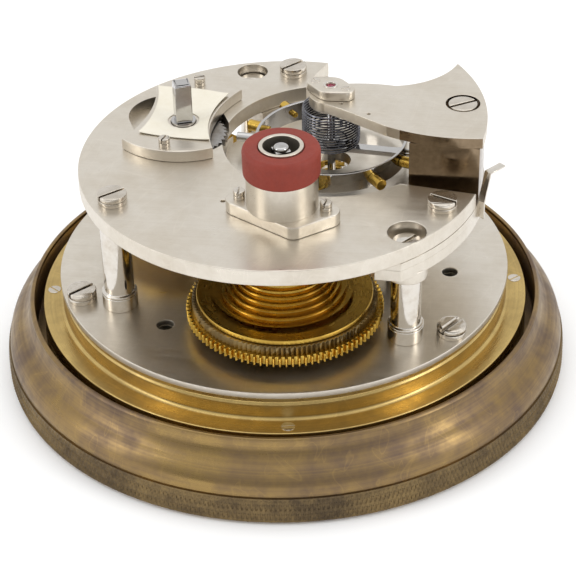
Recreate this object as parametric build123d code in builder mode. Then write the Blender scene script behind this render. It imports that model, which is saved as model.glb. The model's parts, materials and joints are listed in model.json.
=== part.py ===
from build123d import *
from math import acos, atan2, cos, degrees, hypot, radians, sin, sqrt
import os

# A marine chronometer movement, out of its bowl and lying dial down in its bezel.
# All sizes are millimetres. +Z points up, away from the dial. The origin is on the centre arbor, level with the
# lowest face of the bezel. Twelve o'clock is towards -Y and three o'clock towards +X, so that a hand which
# turns clockwise on the dial turns by the right-hand rule about +Z.

os.makedirs("parts", exist_ok=True)

# Clearances
RUNNING = 0.05  # radial gap of a journal in its hole
PIVOT_GAP = 0.03  # radial gap of a fine pivot in its jewel
SEAT_GAP = 0.02  # radial gap of a fixed piece in its seat
SHAKE = 0.1  # end shake between a turning face and a fixed one
TOOTH_GAP = 0.12  # gap between a resting pawl, stone or jewel and the nearest moving edge

# Bezel, crystal and the rings that carry the movement
BEZEL_THREAD_RADIUS = 57.8
BEZEL_WALL = 7.2  # from the thread to the knurled outside
BEZEL_RADIUS = BEZEL_THREAD_RADIUS + BEZEL_WALL
BEZEL_HEIGHT = 18.5
BEZEL_FOOT_RADIUS = 52.0
BEZEL_SIGHT_RADIUS = 49.5
BEZEL_BAND_LOW = 0.8
BEZEL_BAND_HIGH = 7.1
BEZEL_BAND_STEP = 0.7
BEZEL_LIP_WIDTH = 1.1
BEZEL_LEDGE = 9.5
CRYSTAL_RADIUS = 52.8
CRYSTAL_SEAT = 4.2
CRYSTAL_THICKNESS = 2.5
CRYSTAL_GAP = 0.1
CRYSTAL_RING_HEIGHT = 2.3
CRYSTAL_RING_WIDTH = 2.6
FLANGE_RADIUS = 55.8
FLANGE_THICKNESS = 4.0
SIGHT_RING_HEIGHT = 4.2
SIGHT_RING_MOUTH = 53.4
SIGHT_RING_THROAT = 47.6
RING_WALL_RADIUS = 50.9
RING_WALL_HEIGHT = 5.66
RING_BORE = 46.5
DIAL_RADIUS = 48.5
DIAL_THICKNESS = 1.0
DIAL_SETBACK = 3.0
SECONDS_DIAL_RADIUS = 12.0
UPDOWN_DIAL_RADIUS = 8.6

# Plates, bridges and pillars
PILLAR_PLATE_RADIUS = 51.33
PILLAR_PLATE_RIM = 1.5
PILLAR_PLATE_SPIGOT = 2.46
PLATE_SPACING = 23.24
TOP_PLATE_RADIUS = 45.34
TOP_PLATE_THICKNESS = 3.76
TRAIN_BRIDGE_THICKNESS = 4.6
PILLAR_LUG_HEIGHT = 2.3
PILLAR_LUG_RADIUS = 4.5
BALANCE_OPENING_RADIUS = 24.6
BALANCE_SINK_RADIUS = 24.0
BALANCE_SINK_DEPTH = 1.9
STAFF_HOLE_RADIUS = 4.4
FUSEE_OPENING_RADIUS = 13.0
PILLAR_RADIUS = 3.35
PILLAR_COLLAR_RADIUS = 3.95
PILLAR_COLLAR_HEIGHT = 3.8
PILLAR_PLACES = [(40.3, -155.8), (41.0, -50.5), (40.8, 98.9)]
LOWER_BRIDGE_THICKNESS = 2.2
LOWER_BRIDGE_DROP = 7.3
LOWER_BRIDGE_FOOT = (26.0, 13.0)
LOWER_BRIDGE_FOOT_RADIUS = 4.0
LOWER_BRIDGE_BOSS_RADIUS = 3.0
THIRD_COCK_FOOT = (-19.5, 1.5)
THIRD_COCK_FOOT_RADIUS = 2.6
THIRD_COCK_BOSS_RADIUS = 1.5
THIRD_COCK_THICKNESS = 1.5

# Balance cock, jewel cap and the other pieces on the top plate
COCK_ABOVE_PLATE = 11.64
COCK_ARM_THICKNESS = 2.5
COCK_RADIUS = 45.5
COCK_NOSE_RADIUS = 4.9
COCK_SCREW_PLACE = (40.4, 1.9)
COCK_SCREW_RADIUS = 3.25
COCK_HOLE_RADIUS = 3.8
COCK_PIN_HOLES = [(13.6, 3.2), (19.4, -1.7)]
COCK_PIN_RADIUS = 0.4
COCK_PIN_DEPTH = 0.6
JEWEL_CAP_THICKNESS = 2.2
JEWEL_CAP_RADIUS = 3.7
JEWEL_CAP_TURN = -31.0
JEWEL_CAP_REACH = 3.85
HUB_FLANGE_THICKNESS = 3.0
HUB_TUBE_RADIUS = 7.7
HUB_TUBE_HEIGHT = 7.74
HUB_NECK_RADIUS = 4.8
HUB_NECK_HEIGHT = 6.75
HUB_BORE = 3.9
HUB_SCREWS = [(-9.2, -21.2), (9.2, -26.8)]
HUB_LOBE_RADIUS = 3.0
HUB_CORNERS = [((2.2, -31.2), 2.6), ((-2.2, -16.8), 2.6)]
GASKET_RADIUS = 8.35
GASKET_HEIGHT = 6.5
BARREL_BRIDGE_THICKNESS = 2.8
BARREL_BRIDGE_SCREWS = [(-26.0, 2.0), (-18.6, 29.6)]
TAG_THICKNESS = 0.25
TAG_HOLE_RADIUS = 3.6
SETUP_SINK_RADIUS = 10.7
SETUP_SINK_DEPTH = 2.4
SETUP_SINK_LOBE = ((-25.9, 20.5), 9.1)
SPRING_STRIP_PLACE = (44.78, -13.62)
SPRING_STRIP_TURN = 38.75
SPRING_STRIP_FOOT = -1.65  # how far the strip's foot stands inwards of its place
SPRING_STRIP_THICKNESS = 0.35
SPRING_STRIP_WIDTH = 1.8

# Screws: head radius, head height and shank radius of each kind
FLANGE_SCREW = (1.5, 0.9, 0.7)
PLATE_SCREW = (3.25, 2.5, 1.0)
BRIDGE_SCREW = (3.15, 1.6, 1.5)
TOP_SCREW = (3.2, 2.2, 1.5)
FRAME_SCREW = (2.6, 1.4, 1.5)
SMALL_SCREW = (1.3, 2.0, 0.7)
CAP_SCREW = (1.1, 0.9, 0.45)
THREAD_DEPTH = 5.0  # how far a screw's hole reaches into the piece that holds it
HOLE_END = 0.2  # how much shorter the screw is than its hole
FLANGE_SCREW_CIRCLE = 53.4
PLATE_SCREW_CIRCLE = 47.6
PLATE_SCREW_ANGLES = [-162.8, -40.5, 78.3]
BRIDGE_SCREWS = [(3.4, 39.3), (34.2, -22.1)]
BRIDGE_SCREW_HOLES = [4.1, 3.55]
PLATE_HOLES = [((-26.5, -25.2), 1.9), ((37.7, -7.3), 1.75)]

# Places of the arbors
CENTRE = (0.0, 0.0)
FUSEE_DISTANCE = 24.0
FOURTH_DISTANCE = 24.0
BALANCE = (11.4, 7.9)
BARREL = (-22.0, 12.6)
MAINTAINING_PIVOT = (25.0, -9.0)
CLICK_PIVOT = (-17.4, 25.0)

# Going train
GREAT_TEETH = 96
CENTRE_LEAVES = 12
CENTRE_TEETH = 90
THIRD_LEAVES = 12
CENTRE_MODULE = 0.3
THIRD_TEETH = 80
FOURTH_LEAVES = 10
THIRD_MODULE = 0.27
FOURTH_TEETH = 80
ESCAPE_LEAVES = 10
FOURTH_MODULE = 0.25
WHEEL_THICKNESS = 1.0
ARBOR_RADIUS = 0.8
PIVOT_RADIUS = 0.25
CENTRE_ARBOR_RADIUS = 1.6
CENTRE_PIVOT_RADIUS = 1.0
FOURTH_PIVOT_RADIUS = 0.5

# Escapement
ESCAPE_TEETH = 15
ESCAPE_RADIUS = 6.0
IMPULSE_ROLLER_RADIUS = 3.2
ROLLER_GAP = 0.2
ROLLER_THICKNESS = 1.2
DISCHARGE_ROLLER_RADIUS = 1.6
DISCHARGE_JEWEL_REACH = 1.75
DETENT_SPRING_LENGTH = 3.2
DETENT_REACH = 9.0
DETENT_THICKNESS = 1.0

# Motion work and the up-down indicator
CANNON_LEAVES = 16
MINUTE_TEETH = 48
MINUTE_LEAVES = 14
HOUR_TEETH = 56
MOTION_DISTANCE = 7.7
MINUTE_STUD_RADIUS = 0.7
FUSEE_PINION_LEAVES = 8
UPDOWN_TEETH = 64
UPDOWN_DISTANCE = 7.2
CANNON_RADIUS = 1.5
CANNON_WALL = 0.7
HOUR_PIPE_WALL = 0.65
HAND_THICKNESS = 0.4
MINUTE_HAND_LENGTH = 38.0
HOUR_HAND_LENGTH = 26.0
SECONDS_HAND_LENGTH = 10.5
UPDOWN_HAND_LENGTH = 7.2

# Fusee, great wheel and chain
GREAT_THICKNESS = 2.1
MAINTAINING_TEETH = 120
MAINTAINING_RADIUS = 20.4
MAINTAINING_TOOTH = 0.6
MAINTAINING_THICKNESS = 1.95
BRIM_RADIUS = 19.4
BRIM_THICKNESS = 1.1
LIP_RADIUS = 17.2
LIP_FALL = 0.3
LIP_WIDTH = 0.35
GROOVE_DEPTH = 0.85
FUSEE_TURNS = 8
CHAIN_PITCH = 1.15
CHAIN_WIDTH = 0.95
CHAIN_THICKNESS = 0.85
CHAIN_GAP = 0.25
FUSEE_ARBOR_RADIUS = 2.8
FUSEE_PIVOT_RADIUS = 2.45
WINDING_SQUARE = 3.4
WINDING_SQUARE_LENGTH = 11.2

# Barrel
BARREL_RADIUS = 17.2
BARREL_LIP = 1.4
BARREL_LIP_HEIGHT = 1.8
BARREL_WALL = 1.2
BARREL_FLOOR = 1.2
BARREL_CAP_THICKNESS = 1.1
BARREL_HEIGHT = 12.4
BARREL_ARBOR_RADIUS = 2.8
BARREL_CORE_RADIUS = 4.5
MAINSPRING_THICKNESS = 0.45
MAINSPRING_COILS = 6
SETUP_TEETH = 36
SETUP_RADIUS = 9.9
SETUP_TOOTH = 0.9
SETUP_THICKNESS = 1.8
SETUP_SQUARE = 3.8
SETUP_SQUARE_LENGTH = 9.6
CLICK_THICKNESS = 1.4
CLICK_BOSS_RADIUS = 2.0
CLICK_PIN_RADIUS = 0.8
SETUP_CLICK_LIFT = 8.5
MAINTAINING_DETENT_LIFT = 3.6

# Balance
RIM_RADIUS = 17.3
RIM_THICKNESS = 0.7
RIM_HEIGHT = 4.7
RIM_ABOVE_PLATE = 0.84
BALANCE_ARM_WIDTH = 3.2
BALANCE_ARM_THICKNESS = 1.2
BALANCE_ARM_TURN = -14.0
END_WEIGHT_RADIUS = 1.08
END_WEIGHT_REACH = 22.0
TIMING_WEIGHT_RADIUS = 1.3
TIMING_WEIGHT_REACH = 21.0
TIMING_WEIGHT_TURNS = [-60, -28, 120, 152]
STAFF_RADIUS = 0.9
COLLET_RADIUS = 1.9
JEWEL_RADIUS = 1.1
JEWEL_THICKNESS = 0.8
HAIRSPRING_RADIUS = 6.4
HAIRSPRING_WIRE = 0.4
HAIRSPRING_COILS = 14
HAIRSPRING_PITCH = 0.68
STUD_TURN = -50.0

# Heights of the main faces
SIGHT_RING_TOP = BEZEL_LEDGE + SIGHT_RING_HEIGHT
FLANGE_TOP = SIGHT_RING_TOP + FLANGE_THICKNESS
DIAL_BACK = SIGHT_RING_TOP + DIAL_SETBACK
DIAL_FRONT = DIAL_BACK - DIAL_THICKNESS
PLATE_SEAT = FLANGE_TOP + RING_WALL_HEIGHT
PLATE_TOP = PLATE_SEAT + PILLAR_PLATE_RIM
PLATE_BACK = PLATE_SEAT - PILLAR_PLATE_SPIGOT
TOP_UNDER = PLATE_TOP + PLATE_SPACING
TOP_FACE = TOP_UNDER + TOP_PLATE_THICKNESS
BRIDGE_UNDER = TOP_UNDER - TRAIN_BRIDGE_THICKNESS
LUG_UNDER = BRIDGE_UNDER - PILLAR_LUG_HEIGHT
SINK_FLOOR = TOP_UNDER - BALANCE_SINK_DEPTH
COCK_TOP = TOP_FACE + COCK_ABOVE_PLATE
COCK_UNDER = COCK_TOP - COCK_ARM_THICKNESS
CAP_TOP = COCK_TOP + JEWEL_CAP_THICKNESS
HUB_FLANGE_TOP = TOP_FACE + HUB_FLANGE_THICKNESS
HUB_SHOULDER = HUB_FLANGE_TOP + HUB_TUBE_HEIGHT
HUB_TOP = HUB_SHOULDER + HUB_NECK_HEIGHT
BARREL_BRIDGE_TOP = TOP_FACE + BARREL_BRIDGE_THICKNESS
SETUP_BASE = TOP_FACE - SETUP_SINK_DEPTH + SHAKE
CENTRE_WHEEL_BASE = PLATE_TOP + 0.5
THIRD_PINION_BASE = PLATE_TOP + 0.3
THIRD_WHEEL_BASE = PLATE_TOP + 2.44
FOURTH_PINION_BASE = THIRD_WHEEL_BASE - 0.3
FOURTH_WHEEL_BASE = THIRD_WHEEL_BASE + 1.7
CENTRE_PINION_BASE = PLATE_TOP + 2.14
GREAT_BASE = PLATE_TOP + 2.64
MAINTAINING_BASE = GREAT_BASE + GREAT_THICKNESS
MAINTAINING_DETENT_BASE = MAINTAINING_BASE + 0.25
BRIM_BASE = MAINTAINING_BASE + MAINTAINING_THICKNESS + SHAKE / 2
BRIM_TOP = BRIM_BASE + BRIM_THICKNESS
CONE_TOP = BRIM_TOP + CHAIN_PITCH * FUSEE_TURNS + 0.3
FUSEE_CAP_TOP = CONE_TOP + 1.4
CHAIN_BASE = BRIM_TOP + 0.15
THIRD_COCK_BASE = PLATE_TOP + 3.84
THIRD_COCK_TOP = THIRD_COCK_BASE + THIRD_COCK_THICKNESS
BARREL_BASE = PLATE_TOP + 5.74
BARREL_TOP = BARREL_BASE + BARREL_HEIGHT
MAINSPRING_LOW = BARREL_BASE + BARREL_FLOOR + 0.15
MAINSPRING_HIGH = BARREL_TOP - BARREL_CAP_THICKNESS - 0.15
LOWER_BRIDGE_TOP = BRIDGE_UNDER - LOWER_BRIDGE_DROP
LOWER_BRIDGE_BASE = LOWER_BRIDGE_TOP - LOWER_BRIDGE_THICKNESS
ESCAPE_BASE = BRIDGE_UNDER - 4.0
DETENT_TOP = ESCAPE_BASE - 0.3
DETENT_BASE = DETENT_TOP - DETENT_THICKNESS
RIM_BASE = TOP_FACE + RIM_ABOVE_PLATE - RIM_HEIGHT
ARM_BASE = RIM_BASE + 1.3
HAIRSPRING_BASE = ARM_BASE + BALANCE_ARM_THICKNESS + 0.5
HAIRSPRING_TOP = HAIRSPRING_BASE + HAIRSPRING_COILS * HAIRSPRING_PITCH
CANNON_BASE = PLATE_BACK - 1.9
HOUR_WHEEL_BASE = CANNON_BASE - 1.6
MINUTE_WHEEL_BASE = CANNON_BASE + 0.2
MINUTE_PINION_BASE = HOUR_WHEEL_BASE - 0.2
UPDOWN_WHEEL_BASE = PLATE_BACK - 2.0
HOUR_HAND_BASE = DIAL_FRONT - 2.5
MINUTE_HAND_BASE = HOUR_HAND_BASE - 1.6
SMALL_HAND_BASE = DIAL_FRONT - 1.1


def polar(radius, angle, centre=(0.0, 0.0)):
    """The point at an angle in degrees on a circle."""
    return (centre[0] + radius * cos(radians(angle)), centre[1] + radius * sin(radians(angle)))


def bearing(start, end):
    """The direction of one point seen from another, in degrees from +X."""
    return degrees(atan2(end[1] - start[1], end[0] - start[0]))


def meeting_point(first, first_reach, second, second_reach):
    """The point at given distances from two others, to the left of the way from the first to the second."""
    gap = hypot(second[0] - first[0], second[1] - first[1])
    along = (first_reach**2 - second_reach**2 + gap**2) / (2 * gap)
    aside = sqrt(first_reach**2 - along**2)
    heading = bearing(first, second)
    return polar(aside, heading + 90, polar(along, heading, first))


def level(centre, height, turn=0.0):
    """A level plane over a point of the plan, its X axis along the angle turn."""
    return Plane(origin=(centre[0], centre[1], height), x_dir=(*polar(1, turn), 0), z_dir=(0, 0, 1))


def turn_profile(centre, *points, mode=Mode.ADD):
    """Revolve a closed profile of (radius, height) points about the upright line through centre."""
    upright = Plane(origin=(centre[0], centre[1], 0), x_dir=(1, 0, 0), z_dir=(0, -1, 0))
    with BuildSketch(upright) as profile:
        with BuildLine():
            Polyline(*points, close=True)
        make_face()
    revolve(profile.sketch, axis=Axis((centre[0], centre[1], 0), (0, 0, 1)), mode=mode)


def turn_steps(centre, base, *steps):
    """Revolve a stepped shaft: each step is (radius, height of its upper face)."""
    points = [(0, base)]
    lower = base
    for radius, upper in steps:
        points.append((radius, lower))
        points.append((radius, upper))
        lower = upper
    points.append((0, lower))
    turn_profile(centre, *points)


def add_round(centre, radius, low, high, mode=Mode.ADD):
    """Add or cut an upright cylinder."""
    with BuildSketch(level(centre, low)) as disc:
        Circle(radius)
    extrude(disc.sketch, amount=high - low, mode=mode)


def bore(centre, radius, low, high):
    """Cut an upright round hole."""
    add_round(centre, radius, low, high, Mode.SUBTRACT)


def add_ring(centre, outer, inner, low, high):
    """Add a flat ring."""
    with BuildSketch(level(centre, low)) as ring:
        Circle(outer)
        Circle(inner, mode=Mode.SUBTRACT)
    extrude(ring.sketch, amount=high - low)


def add_outline(centre, base, height, points, mode=Mode.ADD):
    """Extrude a closed outline of straight runs, its points given from the centre."""
    with BuildSketch(level(centre, base)) as outline:
        with BuildLine():
            Polyline(*points, close=True)
        make_face()
    extrude(outline.sketch, amount=height, mode=mode)


def add_lobes(base, height, *circles, mode=Mode.ADD):
    """Extrude the outline wrapped round a few circles, each given as (place, radius)."""
    with BuildSketch(Plane.XY.offset(base)) as outline:
        with BuildSketch(mode=Mode.PRIVATE) as rounds:
            for place, radius in circles:
                with Locations(place):
                    Circle(radius)
        make_hull(rounds.sketch.edges())
    extrude(outline.sketch, amount=height, mode=mode)


def tooth_points(teeth, tip, root, tip_share, root_share, turn):
    """The outline of a ring of teeth, the first one centred on the angle turn."""
    pitch = 360 / teeth
    points = []
    for number in range(teeth):
        middle = turn + number * pitch
        points.append(polar(root, middle - root_share * pitch / 2))
        points.append(polar(tip, middle - tip_share * pitch / 2))
        points.append(polar(tip, middle + tip_share * pitch / 2))
        points.append(polar(root, middle + root_share * pitch / 2))
    return points


def ratchet_points(teeth, tip, root, turn):
    """The outline of a ring of saw teeth whose steep faces look clockwise, one of them at the angle turn."""
    pitch = 360 / teeth
    points = []
    for number in range(teeth):
        steep = turn - number * pitch
        points.append(polar(tip, steep))
        points.append(polar(root, steep - 0.12 * pitch))
    return points


def add_wheel_teeth(centre, base, height, teeth, module, turn):
    """A wheel's toothed disc."""
    pitch_radius = teeth * module / 2
    tip = pitch_radius + 0.85 * module
    root = pitch_radius - 1.25 * module
    add_outline(centre, base, height, tooth_points(teeth, tip, root, 0.2, 0.56, turn))


def add_pinion(centre, base, height, leaves, module, turn):
    """A pinion's leaves on their solid core."""
    pitch_radius = leaves * module / 2
    tip = pitch_radius + 0.7 * module
    root = pitch_radius - 1.25 * module
    add_outline(centre, base, height, tooth_points(leaves, tip, root, 0.2, 0.46, turn))


def cut_crossings(centre, base, height, rim, hub, spokes, width):
    """Cut the windows between a wheel's arms."""
    with BuildSketch(level(centre, base)) as windows:
        Circle(rim)
        Circle(hub, mode=Mode.SUBTRACT)
        with PolarLocations(0, spokes):
            Rectangle(rim + hub, width, align=(Align.MIN, Align.CENTER), mode=Mode.SUBTRACT)
    extrude(windows.sketch, amount=height, mode=Mode.SUBTRACT)


def add_screw(place, seat, kind, reach, slot_turn=0.0, upward=1):
    """A slotted screw of a kind whose head stands on the height seat; upward is -1 where the head hangs down."""
    head_radius, head_height, shank_radius = kind
    edge = 0.12 * head_radius
    top = seat + upward * head_height
    end = seat - upward * reach
    turn_profile(
        place,
        (0, end),
        (shank_radius, end),
        (shank_radius, seat),
        (head_radius, seat),
        (head_radius, top - upward * edge),
        (head_radius - edge, top),
        (0, top),
    )
    slot_depth = 0.4 * head_height
    with BuildSketch(level(place, top - upward * slot_depth, slot_turn)) as slot:
        Rectangle(2.2 * head_radius, 0.22 * head_radius + 0.15)
    extrude(slot.sketch, amount=upward * 2 * slot_depth, mode=Mode.SUBTRACT)


def screw_hole(place, kind, low, high):
    """The hole that a screw's shank passes or is threaded into."""
    bore(place, kind[2] + SEAT_GAP, low, high)


def swung(place, pivot, angle):
    """A point turned about a pivot."""
    reach = hypot(place[0] - pivot[0], place[1] - pivot[1])
    return polar(reach, bearing(pivot, place) + angle, pivot)


def click_shoulder(pivot, lift, centre, teeth, tip, turn):
    """The place where a pawl's arm meets its nose."""
    return swung(polar(tip + 1.1, turn - 0.4 * 360 / teeth, centre), pivot, -lift)


def add_click(pivot, lift, base, centre, teeth, tip, root, turn):
    """A pawl: a pivoted boss, an arm and a nose. It is held lifted by the angle lift from its place before the
    steep face of the ratchet tooth at the angle turn."""
    pitch = 360 / teeth
    shoulder = click_shoulder(pivot, lift, centre, teeth, tip, turn)
    add_lobes(base, CLICK_THICKNESS, (pivot, CLICK_BOSS_RADIUS), (shoulder, 0.5))
    nose = [
        polar((tip + root) / 2 - 0.1, turn - 0.24 * pitch, centre),
        polar(tip + 1.0, turn - 0.1 * pitch, centre),
        polar(tip + 1.0, turn - 0.62 * pitch, centre),
    ]
    add_outline(CENTRE, base, CLICK_THICKNESS, [swung(corner, pivot, -lift) for corner in nose])
    bore(pivot, CLICK_PIN_RADIUS + RUNNING, base, base + CLICK_THICKNESS)


def add_hand(centre, base, boss, hole, length, turn):
    """A spade hand with a counterpoise, pointing along the angle turn."""
    with BuildSketch(level(centre, base, turn)) as hand:
        Circle(boss)
        with BuildLine():
            Polyline((0, 0.32 * boss), (length, 0.07), (length, -0.07), (0, -0.32 * boss), close=True)
        make_face()
        with Locations((0.72 * length, 0)):
            Ellipse(0.09 * length, 0.5 * boss)
        with BuildLine():
            Polyline((0, 0.2 * boss), (-0.24 * length, 0.4), (-0.24 * length, -0.4), (0, -0.2 * boss), close=True)
        make_face()
        Circle(hole, mode=Mode.SUBTRACT)
    extrude(hand.sketch, amount=HAND_THICKNESS)


# Places worked out from the gearing
FUSEE = (0.0, -FUSEE_DISTANCE)
FOURTH = (0.0, FOURTH_DISTANCE)
GREAT_MODULE = 2 * FUSEE_DISTANCE / (GREAT_TEETH + CENTRE_LEAVES)
THIRD_DISTANCE = CENTRE_MODULE * (CENTRE_TEETH + THIRD_LEAVES) / 2
THIRD_FOURTH_DISTANCE = THIRD_MODULE * (THIRD_TEETH + FOURTH_LEAVES) / 2
THIRD = meeting_point(CENTRE, THIRD_DISTANCE, FOURTH, THIRD_FOURTH_DISTANCE)
FOURTH_ESCAPE_DISTANCE = FOURTH_MODULE * (FOURTH_TEETH + ESCAPE_LEAVES) / 2
ESCAPE_DISTANCE = ESCAPE_RADIUS + IMPULSE_ROLLER_RADIUS + ROLLER_GAP
ESCAPE = meeting_point(FOURTH, FOURTH_ESCAPE_DISTANCE, BALANCE, ESCAPE_DISTANCE)
UPDOWN = (0.0, UPDOWN_DISTANCE - FUSEE_DISTANCE)
MINUTE_STUD = (-MOTION_DISTANCE, 0.0)
CANNON_MODULE = 2 * MOTION_DISTANCE / (CANNON_LEAVES + MINUTE_TEETH)
HOUR_MODULE = 2 * MOTION_DISTANCE / (MINUTE_LEAVES + HOUR_TEETH)
UPDOWN_MODULE = 2 * UPDOWN_DISTANCE / (FUSEE_PINION_LEAVES + UPDOWN_TEETH)
PILLARS = [polar(radius, angle) for radius, angle in PILLAR_PLACES]
LEFT_PILLAR, FRONT_PILLAR, REAR_PILLAR = PILLARS
FLANGE_SCREWS = [polar(FLANGE_SCREW_CIRCLE, angle) for angle in (0, 90, 180, -90)]
PLATE_SCREWS = [polar(PLATE_SCREW_CIRCLE, angle) for angle in PLATE_SCREW_ANGLES]
TOP_PLATE_SCREWS = [LEFT_PILLAR, *BRIDGE_SCREWS]
FRAME_SCREWS = [*PILLARS, LOWER_BRIDGE_FOOT, THIRD_COCK_FOOT]
SMALL_SCREWS = [*HUB_SCREWS, *BARREL_BRIDGE_SCREWS]
CAP_ENDS = [polar(JEWEL_CAP_REACH, JEWEL_CAP_TURN + half, BALANCE) for half in (0, 180)]
STUD = polar(HAIRSPRING_RADIUS, STUD_TURN, BALANCE)
MAINTAINING_ROOT = MAINTAINING_RADIUS - MAINTAINING_TOOTH
MAINTAINING_STEEP = bearing(FUSEE, MAINTAINING_PIVOT) + 20
SETUP_ROOT = SETUP_RADIUS - SETUP_TOOTH
SETUP_STEEP = bearing(BARREL, CLICK_PIVOT) + 22
HOUR_PIPE_RADIUS = CANNON_RADIUS + RUNNING + HOUR_PIPE_WALL
CANNON_HOLE = CANNON_RADIUS - CANNON_WALL

# The detent's line touches the escape wheel's circle and runs through the balance staff
LOCK_TURN = bearing(ESCAPE, BALANCE) + degrees(acos(ESCAPE_RADIUS / ESCAPE_DISTANCE))
LOCK = polar(ESCAPE_RADIUS, LOCK_TURN, ESCAPE)
DETENT_FOOT = polar(DETENT_REACH, LOCK_TURN + 90, LOCK)
DETENT_LENGTH = hypot(BALANCE[0] - DETENT_FOOT[0], BALANCE[1] - DETENT_FOOT[1]) - DISCHARGE_JEWEL_REACH - TOOTH_GAP

# The chain's free run touches the fusee's first turn and the barrel's coil from the same side
CHAIN_FUSEE_RADIUS = LIP_RADIUS + CHAIN_GAP
CHAIN_BARREL_RADIUS = BARREL_RADIUS + CHAIN_THICKNESS + CHAIN_GAP
CHAIN_DISTANCE = hypot(BARREL[0] - FUSEE[0], BARREL[1] - FUSEE[1])
CHAIN_NORMAL = bearing(FUSEE, BARREL) - degrees(acos((CHAIN_FUSEE_RADIUS - CHAIN_BARREL_RADIUS) / CHAIN_DISTANCE))

# Seating of the movement: bezel, crystal, sight ring, seating ring and dial
with BuildPart() as bezel:
    lip = BEZEL_THREAD_RADIUS + BEZEL_LIP_WIDTH
    shoulder = BEZEL_RADIUS - BEZEL_BAND_STEP
    waist = (0.5 * (lip + shoulder) - 0.4, 0.535 * BEZEL_HEIGHT + 0.465 * BEZEL_BAND_HIGH)
    with BuildSketch(Plane.XZ):
        with BuildLine():
            inner = Polyline(
                (lip, BEZEL_HEIGHT - 0.5),
                (lip - 0.5, BEZEL_HEIGHT),
                (BEZEL_THREAD_RADIUS, BEZEL_HEIGHT),
                (BEZEL_THREAD_RADIUS, BEZEL_LEDGE),
                (CRYSTAL_RADIUS + CRYSTAL_GAP, BEZEL_LEDGE),
                (CRYSTAL_RADIUS + CRYSTAL_GAP, CRYSTAL_SEAT),
                (BEZEL_SIGHT_RADIUS, CRYSTAL_SEAT),
                (BEZEL_SIGHT_RADIUS, CRYSTAL_SEAT - 0.8),
                (BEZEL_FOOT_RADIUS, 0),
                (BEZEL_RADIUS - BEZEL_BAND_LOW, 0),
                (BEZEL_RADIUS, BEZEL_BAND_LOW),
                (BEZEL_RADIUS, BEZEL_BAND_HIGH),
                (shoulder, BEZEL_BAND_HIGH),
            )
            ThreePointArc(inner @ 1, (shoulder - 0.7, 0.5 * (BEZEL_BAND_HIGH + waist[1]) + 0.45), waist)
            ThreePointArc(waist, (lip + 0.7, 0.5 * (BEZEL_HEIGHT + waist[1]) - 0.65), inner @ 0)
        make_face()
    revolve(axis=Axis.Z)
bezel.part.label = "bezel"
export_step(bezel.part, "parts/bezel.step")

with BuildPart() as crystal:
    add_round(CENTRE, CRYSTAL_RADIUS, CRYSTAL_SEAT, CRYSTAL_SEAT + CRYSTAL_THICKNESS)
    chamfer(crystal.edges().filter_by(GeomType.CIRCLE), 0.3)
crystal.part.label = "crystal"
export_step(crystal.part, "parts/crystal.step")

with BuildPart() as crystal_ring:
    ring_base = CRYSTAL_SEAT + CRYSTAL_THICKNESS
    add_ring(CENTRE, CRYSTAL_RADIUS, CRYSTAL_RADIUS - CRYSTAL_RING_WIDTH, ring_base, ring_base + CRYSTAL_RING_HEIGHT)
    with BuildSketch(Plane.XY.offset(ring_base + CRYSTAL_RING_HEIGHT)):
        with PolarLocations(CRYSTAL_RADIUS, 2):
            Rectangle(1.2, 2.0)
    extrude(amount=-1.0, mode=Mode.SUBTRACT)
crystal_ring.part.label = "crystal_ring"
export_step(crystal_ring.part, "parts/crystal_ring.step")

with BuildPart() as sight_ring:
    turn_profile(
        CENTRE,
        (SIGHT_RING_MOUTH, BEZEL_LEDGE),
        (FLANGE_RADIUS, BEZEL_LEDGE),
        (FLANGE_RADIUS, SIGHT_RING_TOP),
        (DIAL_RADIUS, SIGHT_RING_TOP),
        (DIAL_RADIUS, DIAL_FRONT),
        (SIGHT_RING_THROAT, DIAL_FRONT),
        (SIGHT_RING_THROAT, SIGHT_RING_TOP - 0.9),
    )
    for place in FLANGE_SCREWS:
        screw_hole(place, FLANGE_SCREW, SIGHT_RING_TOP - 2.6, SIGHT_RING_TOP)
sight_ring.part.label = "sight_ring"
export_step(sight_ring.part, "parts/sight_ring.step")

with BuildPart() as seating_ring:
    dial_pocket = DIAL_RADIUS + 2 * RUNNING
    turn_profile(
        CENTRE,
        (dial_pocket, SIGHT_RING_TOP),
        (FLANGE_RADIUS, SIGHT_RING_TOP),
        (FLANGE_RADIUS, FLANGE_TOP - 0.4),
        (FLANGE_RADIUS - 0.4, FLANGE_TOP),
        (RING_WALL_RADIUS + 0.7, FLANGE_TOP),
        (RING_WALL_RADIUS, FLANGE_TOP + 0.7),
        (RING_WALL_RADIUS, PLATE_SEAT - 1.96),
        (RING_WALL_RADIUS - 0.3, PLATE_SEAT - 1.46),
        (RING_WALL_RADIUS - 0.3, PLATE_SEAT),
        (RING_BORE, PLATE_SEAT),
        (RING_BORE, DIAL_BACK),
        (dial_pocket, DIAL_BACK),
    )
    for place in FLANGE_SCREWS:
        bore(place, FLANGE_SCREW[0] + RUNNING, FLANGE_TOP - FLANGE_SCREW[1], FLANGE_TOP)
        screw_hole(place, FLANGE_SCREW, SIGHT_RING_TOP, FLANGE_TOP)
    for place in PLATE_SCREWS:
        screw_hole(place, PLATE_SCREW, PLATE_SEAT - THREAD_DEPTH, PLATE_SEAT)
seating_ring.part.label = "seating_ring"
export_step(seating_ring.part, "parts/seating_ring.step")

with BuildPart() as seating_ring_screws:
    seat = FLANGE_TOP - FLANGE_SCREW[1]
    for number, place in enumerate(FLANGE_SCREWS):
        add_screw(place, seat, FLANGE_SCREW, seat - SIGHT_RING_TOP + 2.4, 35 + 50 * number)
seating_ring_screws.part.label = "seating_ring_screws"
export_step(seating_ring_screws.part, "parts/seating_ring_screws.step")

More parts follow.
